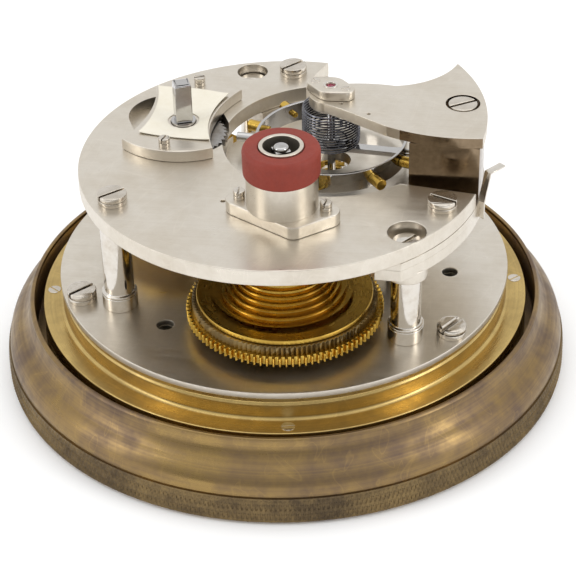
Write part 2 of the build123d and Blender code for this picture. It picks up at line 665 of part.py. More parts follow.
with BuildPart() as dial:
    add_round(CENTRE, DIAL_RADIUS, DIAL_FRONT, DIAL_BACK)
    bore(CENTRE, HOUR_PIPE_RADIUS + 0.8, DIAL_FRONT, DIAL_BACK)
    bore(FOURTH, SECONDS_DIAL_RADIUS, DIAL_FRONT, DIAL_FRONT + 0.2)
    bore(UPDOWN, UPDOWN_DIAL_RADIUS, DIAL_FRONT, DIAL_FRONT + 0.2)
    bore(FOURTH, FOURTH_PIVOT_RADIUS + 0.6, DIAL_FRONT, DIAL_BACK)
    bore(UPDOWN, FOURTH_PIVOT_RADIUS + 0.6, DIAL_FRONT, DIAL_BACK)
dial.part.label = "dial"
export_step(dial.part, "parts/dial.step")

# Pillar plate, pillars and the plates and bridges on them
with BuildPart() as pillar_plate:
    turn_profile(
        CENTRE,
        (0, PLATE_BACK),
        (RING_BORE - 0.2, PLATE_BACK),
        (RING_BORE - 0.2, PLATE_SEAT),
        (PILLAR_PLATE_RADIUS, PLATE_SEAT),
        (PILLAR_PLATE_RADIUS, PLATE_TOP - 0.3),
        (PILLAR_PLATE_RADIUS - 0.3, PLATE_TOP),
        (0, PLATE_TOP),
    )
    add_round(MINUTE_STUD, MINUTE_STUD_RADIUS, MINUTE_PINION_BASE - 0.4, PLATE_BACK)
    bore(CENTRE, CENTRE_PIVOT_RADIUS + RUNNING, PLATE_BACK, PLATE_TOP)
    bore(FUSEE, FUSEE_PIVOT_RADIUS + RUNNING, PLATE_BACK, PLATE_TOP)
    bore(BARREL, BARREL_ARBOR_RADIUS + RUNNING, PLATE_BACK, PLATE_TOP)
    for place in (THIRD, ESCAPE, FOURTH):
        bore(place, JEWEL_RADIUS + SEAT_GAP, PLATE_TOP - JEWEL_THICKNESS, PLATE_TOP)
        bore(place, FOURTH_PIVOT_RADIUS + 4 * RUNNING, PLATE_BACK, PLATE_TOP)
    bore(UPDOWN, FOURTH_PIVOT_RADIUS + RUNNING, PLATE_BACK, PLATE_TOP - 1)
    bore(MAINTAINING_PIVOT, CLICK_PIN_RADIUS + SEAT_GAP, PLATE_TOP - 2, PLATE_TOP)
    for place, radius in PLATE_HOLES:
        bore(place, radius, PLATE_BACK, PLATE_TOP)
    for place in PLATE_SCREWS:
        screw_hole(place, PLATE_SCREW, PLATE_BACK, PLATE_TOP)
    for place in FRAME_SCREWS:
        bore(place, FRAME_SCREW[0] + RUNNING, PLATE_BACK, PLATE_BACK + FRAME_SCREW[1] + 0.1)
        screw_hole(place, FRAME_SCREW, PLATE_BACK, PLATE_TOP)
pillar_plate.part.label = "pillar_plate"
export_step(pillar_plate.part, "parts/pillar_plate.step")

with BuildPart() as pillar_plate_screws:
    for number, place in enumerate(PLATE_SCREWS):
        add_screw(place, PLATE_TOP, PLATE_SCREW, PILLAR_PLATE_RIM + THREAD_DEPTH - HOLE_END, 20 + 65 * number)
pillar_plate_screws.part.label = "pillar_plate_screws"
export_step(pillar_plate_screws.part, "parts/pillar_plate_screws.step")

with BuildPart() as pillars:
    for place, top in zip(PILLARS, (TOP_UNDER, LUG_UNDER, LUG_UNDER)):
        turn_profile(
            place,
            (0, PLATE_TOP),
            (PILLAR_COLLAR_RADIUS, PLATE_TOP),
            (PILLAR_COLLAR_RADIUS, PLATE_TOP + PILLAR_COLLAR_HEIGHT - 0.3),
            (PILLAR_COLLAR_RADIUS - 0.3, PLATE_TOP + PILLAR_COLLAR_HEIGHT),
            (PILLAR_RADIUS, PLATE_TOP + PILLAR_COLLAR_HEIGHT),
            (PILLAR_RADIUS, top),
            (0, top),
        )
        screw_hole(place, FRAME_SCREW, PLATE_TOP, PLATE_TOP + THREAD_DEPTH)
        screw_hole(place, TOP_SCREW, top - THREAD_DEPTH, top)
pillars.part.label = "pillars"
export_step(pillars.part, "parts/pillars.step")

with BuildPart() as frame_screws:
    seat = PLATE_BACK + FRAME_SCREW[1] + 0.1
    for number, place in enumerate(FRAME_SCREWS):
        depth = 2.8 if place == THIRD_COCK_FOOT else THREAD_DEPTH
        add_screw(place, seat, FRAME_SCREW, PLATE_TOP - seat + depth - HOLE_END, 40 * number, upward=-1)
frame_screws.part.label = "frame_screws"
export_step(frame_screws.part, "parts/frame_screws.step")

with BuildPart() as train_bridge:
    front = polar(TOP_PLATE_RADIUS, -57.4)
    bite = polar(TOP_PLATE_RADIUS, 30)
    rear = polar(TOP_PLATE_RADIUS, 74.5)
    rear_end = polar(TOP_PLATE_RADIUS, 112)
    fusee_left = polar(FUSEE_OPENING_RADIUS, 108, FUSEE)
    fusee_right = polar(FUSEE_OPENING_RADIUS, 0, FUSEE)
    with BuildSketch(Plane.XY.offset(BRIDGE_UNDER)):
        with BuildLine():
            ThreePointArc(front, polar(TOP_PLATE_RADIUS, -13.7), bite)
            ThreePointArc(bite, (27.5, 31.0), (12.6, 36.6))
            Line((12.6, 36.6), rear)
            ThreePointArc(rear, polar(TOP_PLATE_RADIUS, 93), rear_end)
            Polyline(rear_end, (-9.0, 33.0), (-3.5, 25.5), (-13.5, 13.5), (-15.5, 4.0), fusee_left)
            ThreePointArc(fusee_left, polar(FUSEE_OPENING_RADIUS, 54, FUSEE), fusee_right)
            Polyline(fusee_right, (19.0, -37.0), front)
        make_face()
    extrude(amount=TRAIN_BRIDGE_THICKNESS)
    for place in (FRONT_PILLAR, REAR_PILLAR):
        add_round(place, PILLAR_LUG_RADIUS, LUG_UNDER, BRIDGE_UNDER)
        screw_hole(place, BRIDGE_SCREW, LUG_UNDER, TOP_UNDER)
    bore(BALANCE, BALANCE_SINK_RADIUS, SINK_FLOOR, TOP_UNDER)
    bore(BALANCE, STAFF_HOLE_RADIUS, BRIDGE_UNDER, TOP_UNDER)
    bore(CENTRE, CENTRE_PIVOT_RADIUS + RUNNING, BRIDGE_UNDER, TOP_UNDER)
    for place in (FOURTH, ESCAPE):
        bore(place, JEWEL_RADIUS + SEAT_GAP, BRIDGE_UNDER, BRIDGE_UNDER + JEWEL_THICKNESS)
        bore(place, 2 * PIVOT_RADIUS, BRIDGE_UNDER, TOP_UNDER)
    bore(MAINTAINING_PIVOT, CLICK_PIN_RADIUS + SEAT_GAP, BRIDGE_UNDER, BRIDGE_UNDER + 1.5)
    for place in (*BRIDGE_SCREWS, COCK_SCREW_PLACE):
        screw_hole(place, TOP_SCREW, BRIDGE_UNDER, TOP_UNDER)
    with BuildSketch(level(SPRING_STRIP_PLACE, BRIDGE_UNDER, SPRING_STRIP_TURN)):
        with Locations((SPRING_STRIP_FOOT, 0)):
            Rectangle(SPRING_STRIP_THICKNESS + 2 * SEAT_GAP, SPRING_STRIP_WIDTH + 2 * SEAT_GAP)
    extrude(amount=TRAIN_BRIDGE_THICKNESS, mode=Mode.SUBTRACT)
train_bridge.part.label = "train_bridge"
export_step(train_bridge.part, "parts/train_bridge.step")

with BuildPart() as bridge_pillar_screws:
    for number, place in enumerate((FRONT_PILLAR, REAR_PILLAR)):
        reach = TOP_UNDER - LUG_UNDER + THREAD_DEPTH - HOLE_END
        add_screw(place, TOP_UNDER, BRIDGE_SCREW, reach, 15 + 80 * number)
bridge_pillar_screws.part.label = "bridge_pillar_screws"
export_step(bridge_pillar_screws.part, "parts/bridge_pillar_screws.step")

with BuildPart() as top_plate:
    add_round(CENTRE, TOP_PLATE_RADIUS, TOP_UNDER, TOP_FACE)
    chamfer(top_plate.edges().filter_by(GeomType.CIRCLE), 0.3)
    bore(BALANCE, BALANCE_OPENING_RADIUS, TOP_UNDER, TOP_FACE)
    right_edge = [
        BALANCE,
        (25.8, -12.1),
        (52.0, -19.4),
        (60.0, 10.0),
        (35.0, 60.0),
        (14.0, 47.2),
        (8.9, 38.4),
        (7.1, 34.0),
        (6.3, 31.9),
    ]
    add_outline(CENTRE, TOP_UNDER, TOP_PLATE_THICKNESS, right_edge, Mode.SUBTRACT)
    bore(FUSEE, FUSEE_PIVOT_RADIUS + RUNNING, TOP_UNDER, TOP_FACE)
    bore(BARREL, BARREL_ARBOR_RADIUS + RUNNING, TOP_UNDER, TOP_FACE)
    for place, radius in ((BARREL, SETUP_SINK_RADIUS), SETUP_SINK_LOBE):
        bore(place, radius, TOP_FACE - SETUP_SINK_DEPTH, TOP_FACE)
    click_arm = click_shoulder(CLICK_PIVOT, SETUP_CLICK_LIFT, BARREL, SETUP_TEETH, SETUP_RADIUS, SETUP_STEEP)
    add_lobes(
        TOP_FACE - SETUP_SINK_DEPTH, SETUP_SINK_DEPTH, (CLICK_PIVOT, 3.0), (click_arm, 1.5), mode=Mode.SUBTRACT
    )
    bore(CLICK_PIVOT, CLICK_PIN_RADIUS + SEAT_GAP, TOP_UNDER, TOP_FACE)
    for place, radius in zip((FRONT_PILLAR, REAR_PILLAR), BRIDGE_SCREW_HOLES):
        bore(place, radius, TOP_UNDER, TOP_FACE)
    for place in TOP_PLATE_SCREWS:
        screw_hole(place, TOP_SCREW, TOP_UNDER, TOP_FACE)
    for place in SMALL_SCREWS:
        screw_hole(place, SMALL_SCREW, TOP_FACE - 3, TOP_FACE)
    bore((-12.85, -17.5), 0.5, TOP_UNDER, TOP_FACE)
top_plate.part.label = "top_plate"
export_step(top_plate.part, "parts/top_plate.step")

with BuildPart() as top_plate_screws:
    for number, place in enumerate(TOP_PLATE_SCREWS):
        add_screw(place, TOP_FACE, TOP_SCREW, TOP_PLATE_THICKNESS + 4.4, 60 - 35 * number)
top_plate_screws.part.label = "top_plate_screws"
export_step(top_plate_screws.part, "parts/top_plate_screws.step")

with BuildPart() as lower_balance_bridge:
    ends = ((LOWER_BRIDGE_FOOT, LOWER_BRIDGE_FOOT_RADIUS), (BALANCE, LOWER_BRIDGE_BOSS_RADIUS))
    add_lobes(LOWER_BRIDGE_BASE, LOWER_BRIDGE_THICKNESS, *ends)
    add_round(LOWER_BRIDGE_FOOT, LOWER_BRIDGE_FOOT_RADIUS, PLATE_TOP, LOWER_BRIDGE_BASE)
    screw_hole(LOWER_BRIDGE_FOOT, FRAME_SCREW, PLATE_TOP, PLATE_TOP + THREAD_DEPTH)
    bore(BALANCE, JEWEL_RADIUS + SEAT_GAP, LOWER_BRIDGE_BASE, LOWER_BRIDGE_TOP)
lower_balance_bridge.part.label = "lower_balance_bridge"
export_step(lower_balance_bridge.part, "parts/lower_balance_bridge.step")

with BuildPart() as third_wheel_cock:
    ends = ((THIRD_COCK_FOOT, THIRD_COCK_FOOT_RADIUS), (THIRD, THIRD_COCK_BOSS_RADIUS))
    add_lobes(THIRD_COCK_BASE, THIRD_COCK_THICKNESS, *ends)
    add_round(THIRD_COCK_FOOT, THIRD_COCK_FOOT_RADIUS, PLATE_TOP, THIRD_COCK_BASE)
    screw_hole(THIRD_COCK_FOOT, FRAME_SCREW, PLATE_TOP, PLATE_TOP + 2.8)
    bore(THIRD, JEWEL_RADIUS + SEAT_GAP, THIRD_COCK_BASE, THIRD_COCK_BASE + JEWEL_THICKNESS)
    bore(THIRD, 2 * PIVOT_RADIUS, THIRD_COCK_BASE, THIRD_COCK_TOP)
third_wheel_cock.part.label = "third_wheel_cock"
export_step(third_wheel_cock.part, "parts/third_wheel_cock.step")

with BuildPart() as jewels:
    hole_jewels = (
        (THIRD, PLATE_TOP - JEWEL_THICKNESS, PIVOT_RADIUS),
        (ESCAPE, PLATE_TOP - JEWEL_THICKNESS, PIVOT_RADIUS),
        (FOURTH, PLATE_TOP - JEWEL_THICKNESS, FOURTH_PIVOT_RADIUS),
        (THIRD, THIRD_COCK_BASE, PIVOT_RADIUS),
        (ESCAPE, BRIDGE_UNDER, PIVOT_RADIUS),
        (FOURTH, BRIDGE_UNDER, PIVOT_RADIUS),
        (BALANCE, LOWER_BRIDGE_TOP - JEWEL_THICKNESS, PIVOT_RADIUS),
        (BALANCE, COCK_TOP - JEWEL_THICKNESS, PIVOT_RADIUS),
    )
    for place, base, pivot in hole_jewels:
        add_ring(place, JEWEL_RADIUS, pivot + PIVOT_GAP, base, base + JEWEL_THICKNESS)
    add_round(BALANCE, JEWEL_RADIUS, LOWER_BRIDGE_BASE, LOWER_BRIDGE_TOP - JEWEL_THICKNESS - 0.02)
    add_round(BALANCE, JEWEL_RADIUS, COCK_TOP + 0.02, CAP_TOP - 0.4)
jewels.part.label = "jewels"
export_step(jewels.part, "parts/jewels.step")

# Balance cock and what it carries
with BuildPart() as balance_cock:
    outer_rear = polar(COCK_RADIUS, 26.4)
    outer_front = polar(COCK_RADIUS, -17.6)
    with BuildSketch(Plane.XY.offset(COCK_UNDER)):
        with BuildLine():
            ThreePointArc((15.0, 12.2), (20.5, 11.9), (26.0, 10.6))
            ThreePointArc((26.0, 10.6), (34.0, 12.9), outer_rear)
            ThreePointArc(outer_rear, polar(COCK_RADIUS, 4), outer_front)
            ThreePointArc(outer_front, (32.5, -12.0), (22.6, -7.1))
            Polyline((22.6, -7.1), (13.3, 0.8), (9.6, 3.4), BALANCE, (15.0, 12.2))
        make_face()
        with Locations(BALANCE):
            Circle(COCK_NOSE_RADIUS)
    extrude(amount=COCK_ARM_THICKNESS)
    foot_front = polar(COCK_RADIUS - 0.5, -18)
    foot_rear = polar(COCK_RADIUS - 0.5, 26.4)
    with BuildSketch(Plane.XY.offset(TOP_UNDER)):
        with BuildLine():
            Polyline(foot_front, (27.0, -10.3), BALANCE, (34.0, 12.9), foot_rear)
            ThreePointArc(foot_rear, polar(COCK_RADIUS - 0.5, 4), foot_front)
        make_face()
        with Locations(BALANCE):
            Circle(BALANCE_OPENING_RADIUS, mode=Mode.SUBTRACT)
    extrude(amount=COCK_UNDER - TOP_UNDER)
    bore(COCK_SCREW_PLACE, COCK_HOLE_RADIUS, COCK_UNDER, COCK_TOP)
    screw_hole(COCK_SCREW_PLACE, TOP_SCREW, TOP_UNDER, COCK_UNDER)
    bore(BALANCE, JEWEL_RADIUS + SEAT_GAP, COCK_UNDER, COCK_TOP)
    for place in CAP_ENDS:
        screw_hole(place, CAP_SCREW, COCK_TOP - 1.6, COCK_TOP)
    for place in COCK_PIN_HOLES:
        bore(place, COCK_PIN_RADIUS, COCK_TOP - COCK_PIN_DEPTH, COCK_TOP)
    screw_hole(STUD, CAP_SCREW, COCK_UNDER, COCK_UNDER + 1)
balance_cock.part.label = "balance_cock"
export_step(balance_cock.part, "parts/balance_cock.step")

with BuildPart() as jewel_cap:
    add_lobes(COCK_TOP, JEWEL_CAP_THICKNESS, (BALANCE, JEWEL_CAP_RADIUS), (CAP_ENDS[0], 2.0), (CAP_ENDS[1], 2.0))
    chamfer(jewel_cap.faces().sort_by(Axis.Z)[-1].edges(), 0.25)
    bore(BALANCE, JEWEL_RADIUS + SEAT_GAP, COCK_TOP, CAP_TOP)
    for place in CAP_ENDS:
        bore(place, CAP_SCREW[0] + RUNNING, CAP_TOP - CAP_SCREW[1], CAP_TOP)
        screw_hole(place, CAP_SCREW, COCK_TOP, CAP_TOP)
jewel_cap.part.label = "jewel_cap"
export_step(jewel_cap.part, "parts/jewel_cap.step")

with BuildPart() as cock_screws:
    kind = (COCK_SCREW_RADIUS, COCK_ARM_THICKNESS, TOP_SCREW[2])
    add_screw(COCK_SCREW_PLACE, COCK_UNDER, kind, COCK_UNDER - TOP_UNDER + 4, 100)
    for number, place in enumerate(CAP_ENDS):
        add_screw(place, CAP_TOP - CAP_SCREW[1], CAP_SCREW, JEWEL_CAP_THICKNESS + 0.4, 55 + 70 * number)
cock_screws.part.label = "cock_screws"
export_step(cock_screws.part, "parts/cock_screws.step")

with BuildPart() as hairspring_stud:
    stud_foot = HAIRSPRING_TOP + HAIRSPRING_WIRE / 2
    turn_steps(STUD, stud_foot, (0.9, COCK_UNDER), (CAP_SCREW[2], COCK_UNDER + 0.9))
hairspring_stud.part.label = "hairspring_stud"
export_step(hairspring_stud.part, "parts/hairspring_stud.step")

# Pieces on the top plate
with BuildPart() as barrel_bridge:
    with BuildSketch(Plane.XY.offset(TOP_FACE)):
        with BuildLine():
            near = ThreePointArc((-35.7, 5.4), (-26.0, -0.6), (-15.2, 0.4))
            right = ThreePointArc(near @ 1, (-15.6, 12.0), (-8.8, 26.6))
            far = ThreePointArc(right @ 1, (-18.0, 32.5), (-28.8, 29.7))
            ThreePointArc(far @ 1, (-30.0, 17.0), near @ 0)
        make_face()
    extrude(amount=BARREL_BRIDGE_THICKNESS)
    chamfer(barrel_bridge.faces().sort_by(Axis.Z)[-1].edges(), 0.3)
    bore(BARREL, BARREL_ARBOR_RADIUS + RUNNING, TOP_FACE, BARREL_BRIDGE_TOP)
    for place in BARREL_BRIDGE_SCREWS:
        screw_hole(place, SMALL_SCREW, TOP_FACE, BARREL_BRIDGE_TOP)
barrel_bridge.part.label = "barrel_bridge"
export_step(barrel_bridge.part, "parts/barrel_bridge.step")

with BuildPart() as small_raised_screws:
    for number, place in enumerate(SMALL_SCREWS):
        flange = HUB_FLANGE_THICKNESS if place in HUB_SCREWS else BARREL_BRIDGE_THICKNESS
        add_screw(place, TOP_FACE + flange, SMALL_SCREW, flange + 2.8, 25 + 50 * number)
small_raised_screws.part.label = "small_raised_screws"
export_step(small_raised_screws.part, "parts/small_raised_screws.step")

with BuildPart() as paper_tag:
    with BuildSketch(Plane.XY.offset(BARREL_BRIDGE_TOP)):
        with BuildLine():
            near = ThreePointArc((-32.0, 7.6), (-24.4, 5.0), (-15.9, 3.4))
            right = ThreePointArc(near @ 1, (-15.9, 13.6), (-11.7, 23.7))
            far = ThreePointArc(right @ 1, (-19.6, 27.0), (-28.3, 28.2))
            ThreePointArc(far @ 1, (-28.6, 17.6), near @ 0)
        make_face()
        with Locations(BARREL):
            Circle(TAG_HOLE_RADIUS, mode=Mode.SUBTRACT)
    extrude(amount=TAG_THICKNESS)
paper_tag.part.label = "paper_tag"
export_step(paper_tag.part, "parts/paper_tag.step")

with BuildPart() as winding_hub:
    corners = [(place, HUB_LOBE_RADIUS) for place in HUB_SCREWS] + HUB_CORNERS
    add_lobes(TOP_FACE, HUB_FLANGE_THICKNESS, *corners)
    chamfer(winding_hub.faces().sort_by(Axis.Z)[-1].edges(), 0.3)
    turn_profile(
        FUSEE,
        (0, HUB_FLANGE_TOP),
        (HUB_TUBE_RADIUS, HUB_FLANGE_TOP),
        (HUB_TUBE_RADIUS, HUB_SHOULDER),
        (HUB_NECK_RADIUS, HUB_SHOULDER),
        (HUB_NECK_RADIUS, HUB_TOP - 0.3),
        (HUB_NECK_RADIUS - 0.3, HUB_TOP),
        (0, HUB_TOP),
    )
    bore(FUSEE, HUB_BORE, TOP_FACE, HUB_TOP)
    for place in HUB_SCREWS:
        screw_hole(place, SMALL_SCREW, TOP_FACE, HUB_FLANGE_TOP)
winding_hub.part.label = "winding_hub"
export_step(winding_hub.part, "parts/winding_hub.step")

with BuildPart() as hub_gasket:
    add_ring(FUSEE, GASKET_RADIUS, HUB_NECK_RADIUS + SEAT_GAP, HUB_SHOULDER, HUB_SHOULDER + GASKET_HEIGHT)
    chamfer(hub_gasket.edges().group_by(Axis.Z)[-1], 0.5)
hub_gasket.part.label = "hub_gasket"
export_step(hub_gasket.part, "parts/hub_gasket.step")

with BuildPart() as contact_spring:
    outward = (*polar(1, SPRING_STRIP_TURN), 0)
    sideways = (*polar(1, SPRING_STRIP_TURN - 90), 0)
    with BuildSketch(Plane(origin=(*SPRING_STRIP_PLACE, 0), x_dir=outward, z_dir=sideways)):
        with BuildLine():
            Polyline(
                (SPRING_STRIP_FOOT, BRIDGE_UNDER + 0.6),
                (SPRING_STRIP_FOOT, TOP_UNDER),
                (0, TOP_FACE + 3.1),
                (4.4, TOP_FACE + 3.3),
            )
        trace(line_width=SPRING_STRIP_THICKNESS)
    extrude(amount=SPRING_STRIP_WIDTH / 2, both=True)
contact_spring.part.label = "contact_spring"
export_step(contact_spring.part, "parts/contact_spring.step")

# Fusee, great wheel, chain and barrel
with BuildPart() as great_wheel:
    add_wheel_teeth(FUSEE, GREAT_BASE, GREAT_THICKNESS, GREAT_TEETH, GREAT_MODULE, bearing(FUSEE, CENTRE))
    bore(FUSEE, FUSEE_ARBOR_RADIUS + RUNNING, GREAT_BASE, MAINTAINING_BASE)
great_wheel.part.label = "great_wheel"
export_step(great_wheel.part, "parts/great_wheel.step")

with BuildPart() as maintaining_ratchet:
    saw = ratchet_points(MAINTAINING_TEETH, MAINTAINING_RADIUS, MAINTAINING_ROOT, MAINTAINING_STEEP)
    add_outline(FUSEE, MAINTAINING_BASE, MAINTAINING_THICKNESS, saw)
    bore(FUSEE, FUSEE_ARBOR_RADIUS + RUNNING, MAINTAINING_BASE, BRIM_BASE)
maintaining_ratchet.part.label = "maintaining_ratchet"
export_step(maintaining_ratchet.part, "parts/maintaining_ratchet.step")

with BuildPart() as fusee_cone:
    lips = [LIP_RADIUS / sqrt(1 + LIP_FALL * turn) for turn in range(FUSEE_TURNS)]
    profile = [(0, BRIM_BASE), (BRIM_RADIUS, BRIM_BASE), (BRIM_RADIUS, BRIM_TOP - 0.3), (BRIM_RADIUS - 0.3, BRIM_TOP)]
    for turn, lip_radius in enumerate(lips):
        groove_base = BRIM_TOP + CHAIN_PITCH * turn
        floor = lip_radius - GROOVE_DEPTH
        profile.append((floor, groove_base))
        profile.append((floor, groove_base + CHAIN_PITCH - LIP_WIDTH))
        profile.append((lip_radius, groove_base + CHAIN_PITCH - LIP_WIDTH / 2))
        profile.append((lip_radius - 0.15, groove_base + CHAIN_PITCH))
    cap_radius = lips[-1] - GROOVE_DEPTH - 0.9
    profile += [(floor, CONE_TOP), (cap_radius, CONE_TOP), (cap_radius, FUSEE_CAP_TOP), (0, FUSEE_CAP_TOP)]
    turn_profile(FUSEE, *profile)
    bore(FUSEE, FUSEE_ARBOR_RADIUS, BRIM_BASE, FUSEE_CAP_TOP)
fusee_cone.part.label = "fusee_cone"
export_step(fusee_cone.part, "parts/fusee_cone.step")

with BuildPart() as fusee_arbor:
    square_base = HUB_TOP - WINDING_SQUARE_LENGTH - 1.0
    square_top = square_base + WINDING_SQUARE_LENGTH
    pinion_base = UPDOWN_WHEEL_BASE - 0.3
    add_pinion(FUSEE, pinion_base, 1.8, FUSEE_PINION_LEAVES, UPDOWN_MODULE, bearing(FUSEE, UPDOWN))
    turn_steps(
        FUSEE,
        pinion_base + 1.8,
        (FUSEE_PIVOT_RADIUS, PLATE_TOP + SHAKE),
        (FUSEE_ARBOR_RADIUS, TOP_UNDER - SHAKE),
        (FUSEE_PIVOT_RADIUS, square_base),
    )
    with BuildSketch(level(FUSEE, square_base, 20)):
        Rectangle(WINDING_SQUARE, WINDING_SQUARE)
    extrude(amount=WINDING_SQUARE_LENGTH)
    turn_steps(FUSEE, square_top, (WINDING_SQUARE / 2, HUB_TOP - 0.1))
    fillet(fusee_arbor.faces().sort_by(Axis.Z)[-1].edges(), 0.6)
fusee_arbor.part.label = "fusee_arbor"
export_step(fusee_arbor.part, "parts/fusee_arbor.step")

with BuildPart() as maintaining_detent:
    ratchet = (FUSEE, MAINTAINING_TEETH, MAINTAINING_RADIUS, MAINTAINING_ROOT, MAINTAINING_STEEP)
    add_click(MAINTAINING_PIVOT, MAINTAINING_DETENT_LIFT, MAINTAINING_DETENT_BASE, *ratchet)
maintaining_detent.part.label = "maintaining_detent"
export_step(maintaining_detent.part, "parts/maintaining_detent.step")

with BuildPart() as click_pins:
    turn_steps(
        MAINTAINING_PIVOT,
        PLATE_TOP - 1.9,
        (CLICK_PIN_RADIUS, PLATE_TOP),
        (CLICK_BOSS_RADIUS, MAINTAINING_DETENT_BASE - SHAKE),
        (CLICK_PIN_RADIUS, MAINTAINING_DETENT_BASE + CLICK_THICKNESS + SHAKE),
        (CLICK_BOSS_RADIUS, BRIDGE_UNDER),
        (CLICK_PIN_RADIUS, BRIDGE_UNDER + 1.4),
    )
    turn_steps(CLICK_PIVOT, TOP_UNDER + 0.1, (CLICK_PIN_RADIUS, TOP_FACE - SHAKE))
click_pins.part.label = "click_pins"
export_step(click_pins.part, "parts/click_pins.step")

with BuildPart() as chain_run:
    fusee_end = polar(CHAIN_FUSEE_RADIUS, CHAIN_NORMAL, FUSEE)
    barrel_end = polar(CHAIN_BARREL_RADIUS, CHAIN_NORMAL, BARREL)
    run_length = hypot(barrel_end[0] - fusee_end[0], barrel_end[1] - fusee_end[1])
    with BuildSketch(level(fusee_end, CHAIN_BASE, bearing(fusee_end, barrel_end))):
        Rectangle(run_length, CHAIN_THICKNESS, align=(Align.MIN, Align.MAX))
    extrude(amount=CHAIN_WIDTH)
chain_run.part.label = "chain_run"
export_step(chain_run.part, "parts/chain_run.step")

with BuildPart() as chain_on_barrel:
    coil_base = BARREL_BASE + BARREL_LIP_HEIGHT + 0.1
    profile = [(BARREL_RADIUS, coil_base)]
    for turn in range(FUSEE_TURNS):
        low = coil_base + CHAIN_PITCH * turn
        profile.append((BARREL_RADIUS + CHAIN_THICKNESS, low))
        profile.append((BARREL_RADIUS + CHAIN_THICKNESS, low + CHAIN_WIDTH))
        profile.append((BARREL_RADIUS + 0.25, low + 0.5 * (CHAIN_WIDTH + CHAIN_PITCH)))
    profile.append((BARREL_RADIUS, coil_base + CHAIN_PITCH * FUSEE_TURNS))
    turn_profile(BARREL, *profile)
chain_on_barrel.part.label = "chain_on_barrel"
export_step(chain_on_barrel.part, "parts/chain_on_barrel.step")

with BuildPart() as barrel:
    cap_seat = BARREL_RADIUS - BARREL_WALL + 0.5
    turn_profile(
        BARREL,
        (BARREL_ARBOR_RADIUS + RUNNING, BARREL_BASE),
        (BARREL_RADIUS + BARREL_LIP, BARREL_BASE),
        (BARREL_RADIUS + BARREL_LIP, BARREL_BASE + BARREL_LIP_HEIGHT),
        (BARREL_RADIUS, BARREL_BASE + BARREL_LIP_HEIGHT),
        (BARREL_RADIUS, BARREL_TOP),
        (cap_seat, BARREL_TOP),
        (cap_seat, BARREL_TOP - BARREL_CAP_THICKNESS),
        (BARREL_RADIUS - BARREL_WALL, BARREL_TOP - BARREL_CAP_THICKNESS),
        (BARREL_RADIUS - BARREL_WALL, BARREL_BASE + BARREL_FLOOR),
        (BARREL_ARBOR_RADIUS + RUNNING, BARREL_BASE + BARREL_FLOOR),
    )
barrel.part.label = "barrel"
export_step(barrel.part, "parts/barrel.step")

with BuildPart() as barrel_cap:
    add_ring(
        BARREL, cap_seat - SEAT_GAP, BARREL_ARBOR_RADIUS + RUNNING, BARREL_TOP - BARREL_CAP_THICKNESS, BARREL_TOP
    )
barrel_cap.part.label = "barrel_cap"
export_step(barrel_cap.part, "parts/barrel_cap.step")

with BuildPart() as mainspring:
    coil_start = BARREL_CORE_RADIUS + 0.1
    coil_room = BARREL_RADIUS - BARREL_WALL - 0.2 - coil_start - MAINSPRING_THICKNESS
    growth = coil_room / (2 * MAINSPRING_COILS)
    coil_end = coil_start + coil_room
    with BuildSketch(level(BARREL, MAINSPRING_LOW)):
        with BuildLine():
            for edge in (0.0, MAINSPRING_THICKNESS):
                for half in range(2 * MAINSPRING_COILS):
                    radius = coil_start + edge + growth * (half + 0.5)
                    side = -1 if half % 2 else 1
                    middle = -side * growth / 2
                    ThreePointArc((middle + side * radius, 0), (middle, side * radius), (middle - side * radius, 0))
            Line((coil_start, 0), (coil_start + MAINSPRING_THICKNESS, 0))
            Line((coil_end, 0), (coil_end + MAINSPRING_THICKNESS, 0))
        make_face()
    extrude(amount=MAINSPRING_HIGH - MAINSPRING_LOW)
mainspring.part.label = "mainspring"
export_step(mainspring.part, "parts/mainspring.step")

with BuildPart() as barrel_arbor:
    setup_square_base = BARREL_BRIDGE_TOP + 0.4
    turn_steps(
        BARREL,
        PLATE_BACK + 0.3,
        (BARREL_ARBOR_RADIUS, MAINSPRING_LOW),
        (BARREL_CORE_RADIUS, MAINSPRING_HIGH),
        (BARREL_ARBOR_RADIUS, setup_square_base),
    )
    with BuildSketch(level(BARREL, setup_square_base, 12)):
        Rectangle(SETUP_SQUARE, SETUP_SQUARE)
    extrude(amount=SETUP_SQUARE_LENGTH)
    chamfer(barrel_arbor.faces().sort_by(Axis.Z)[-1].edges(), 0.6)
barrel_arbor.part.label = "barrel_arbor"
export_step(barrel_arbor.part, "parts/barrel_arbor.step")

with BuildPart() as setup_ratchet:
    saw = ratchet_points(SETUP_TEETH, SETUP_RADIUS, SETUP_ROOT, SETUP_STEEP)
    add_outline(BARREL, SETUP_BASE, SETUP_THICKNESS, saw)
    bore(BARREL, BARREL_ARBOR_RADIUS, SETUP_BASE, SETUP_BASE + SETUP_THICKNESS)
setup_ratchet.part.label = "setup_ratchet"
export_step(setup_ratchet.part, "parts/setup_ratchet.step")

with BuildPart() as setup_click:
    ratchet = (BARREL, SETUP_TEETH, SETUP_RADIUS, SETUP_ROOT, SETUP_STEEP)
    add_click(CLICK_PIVOT, SETUP_CLICK_LIFT, SETUP_BASE + 0.2, *ratchet)
setup_click.part.label = "setup_click"
export_step(setup_click.part, "parts/setup_click.step")

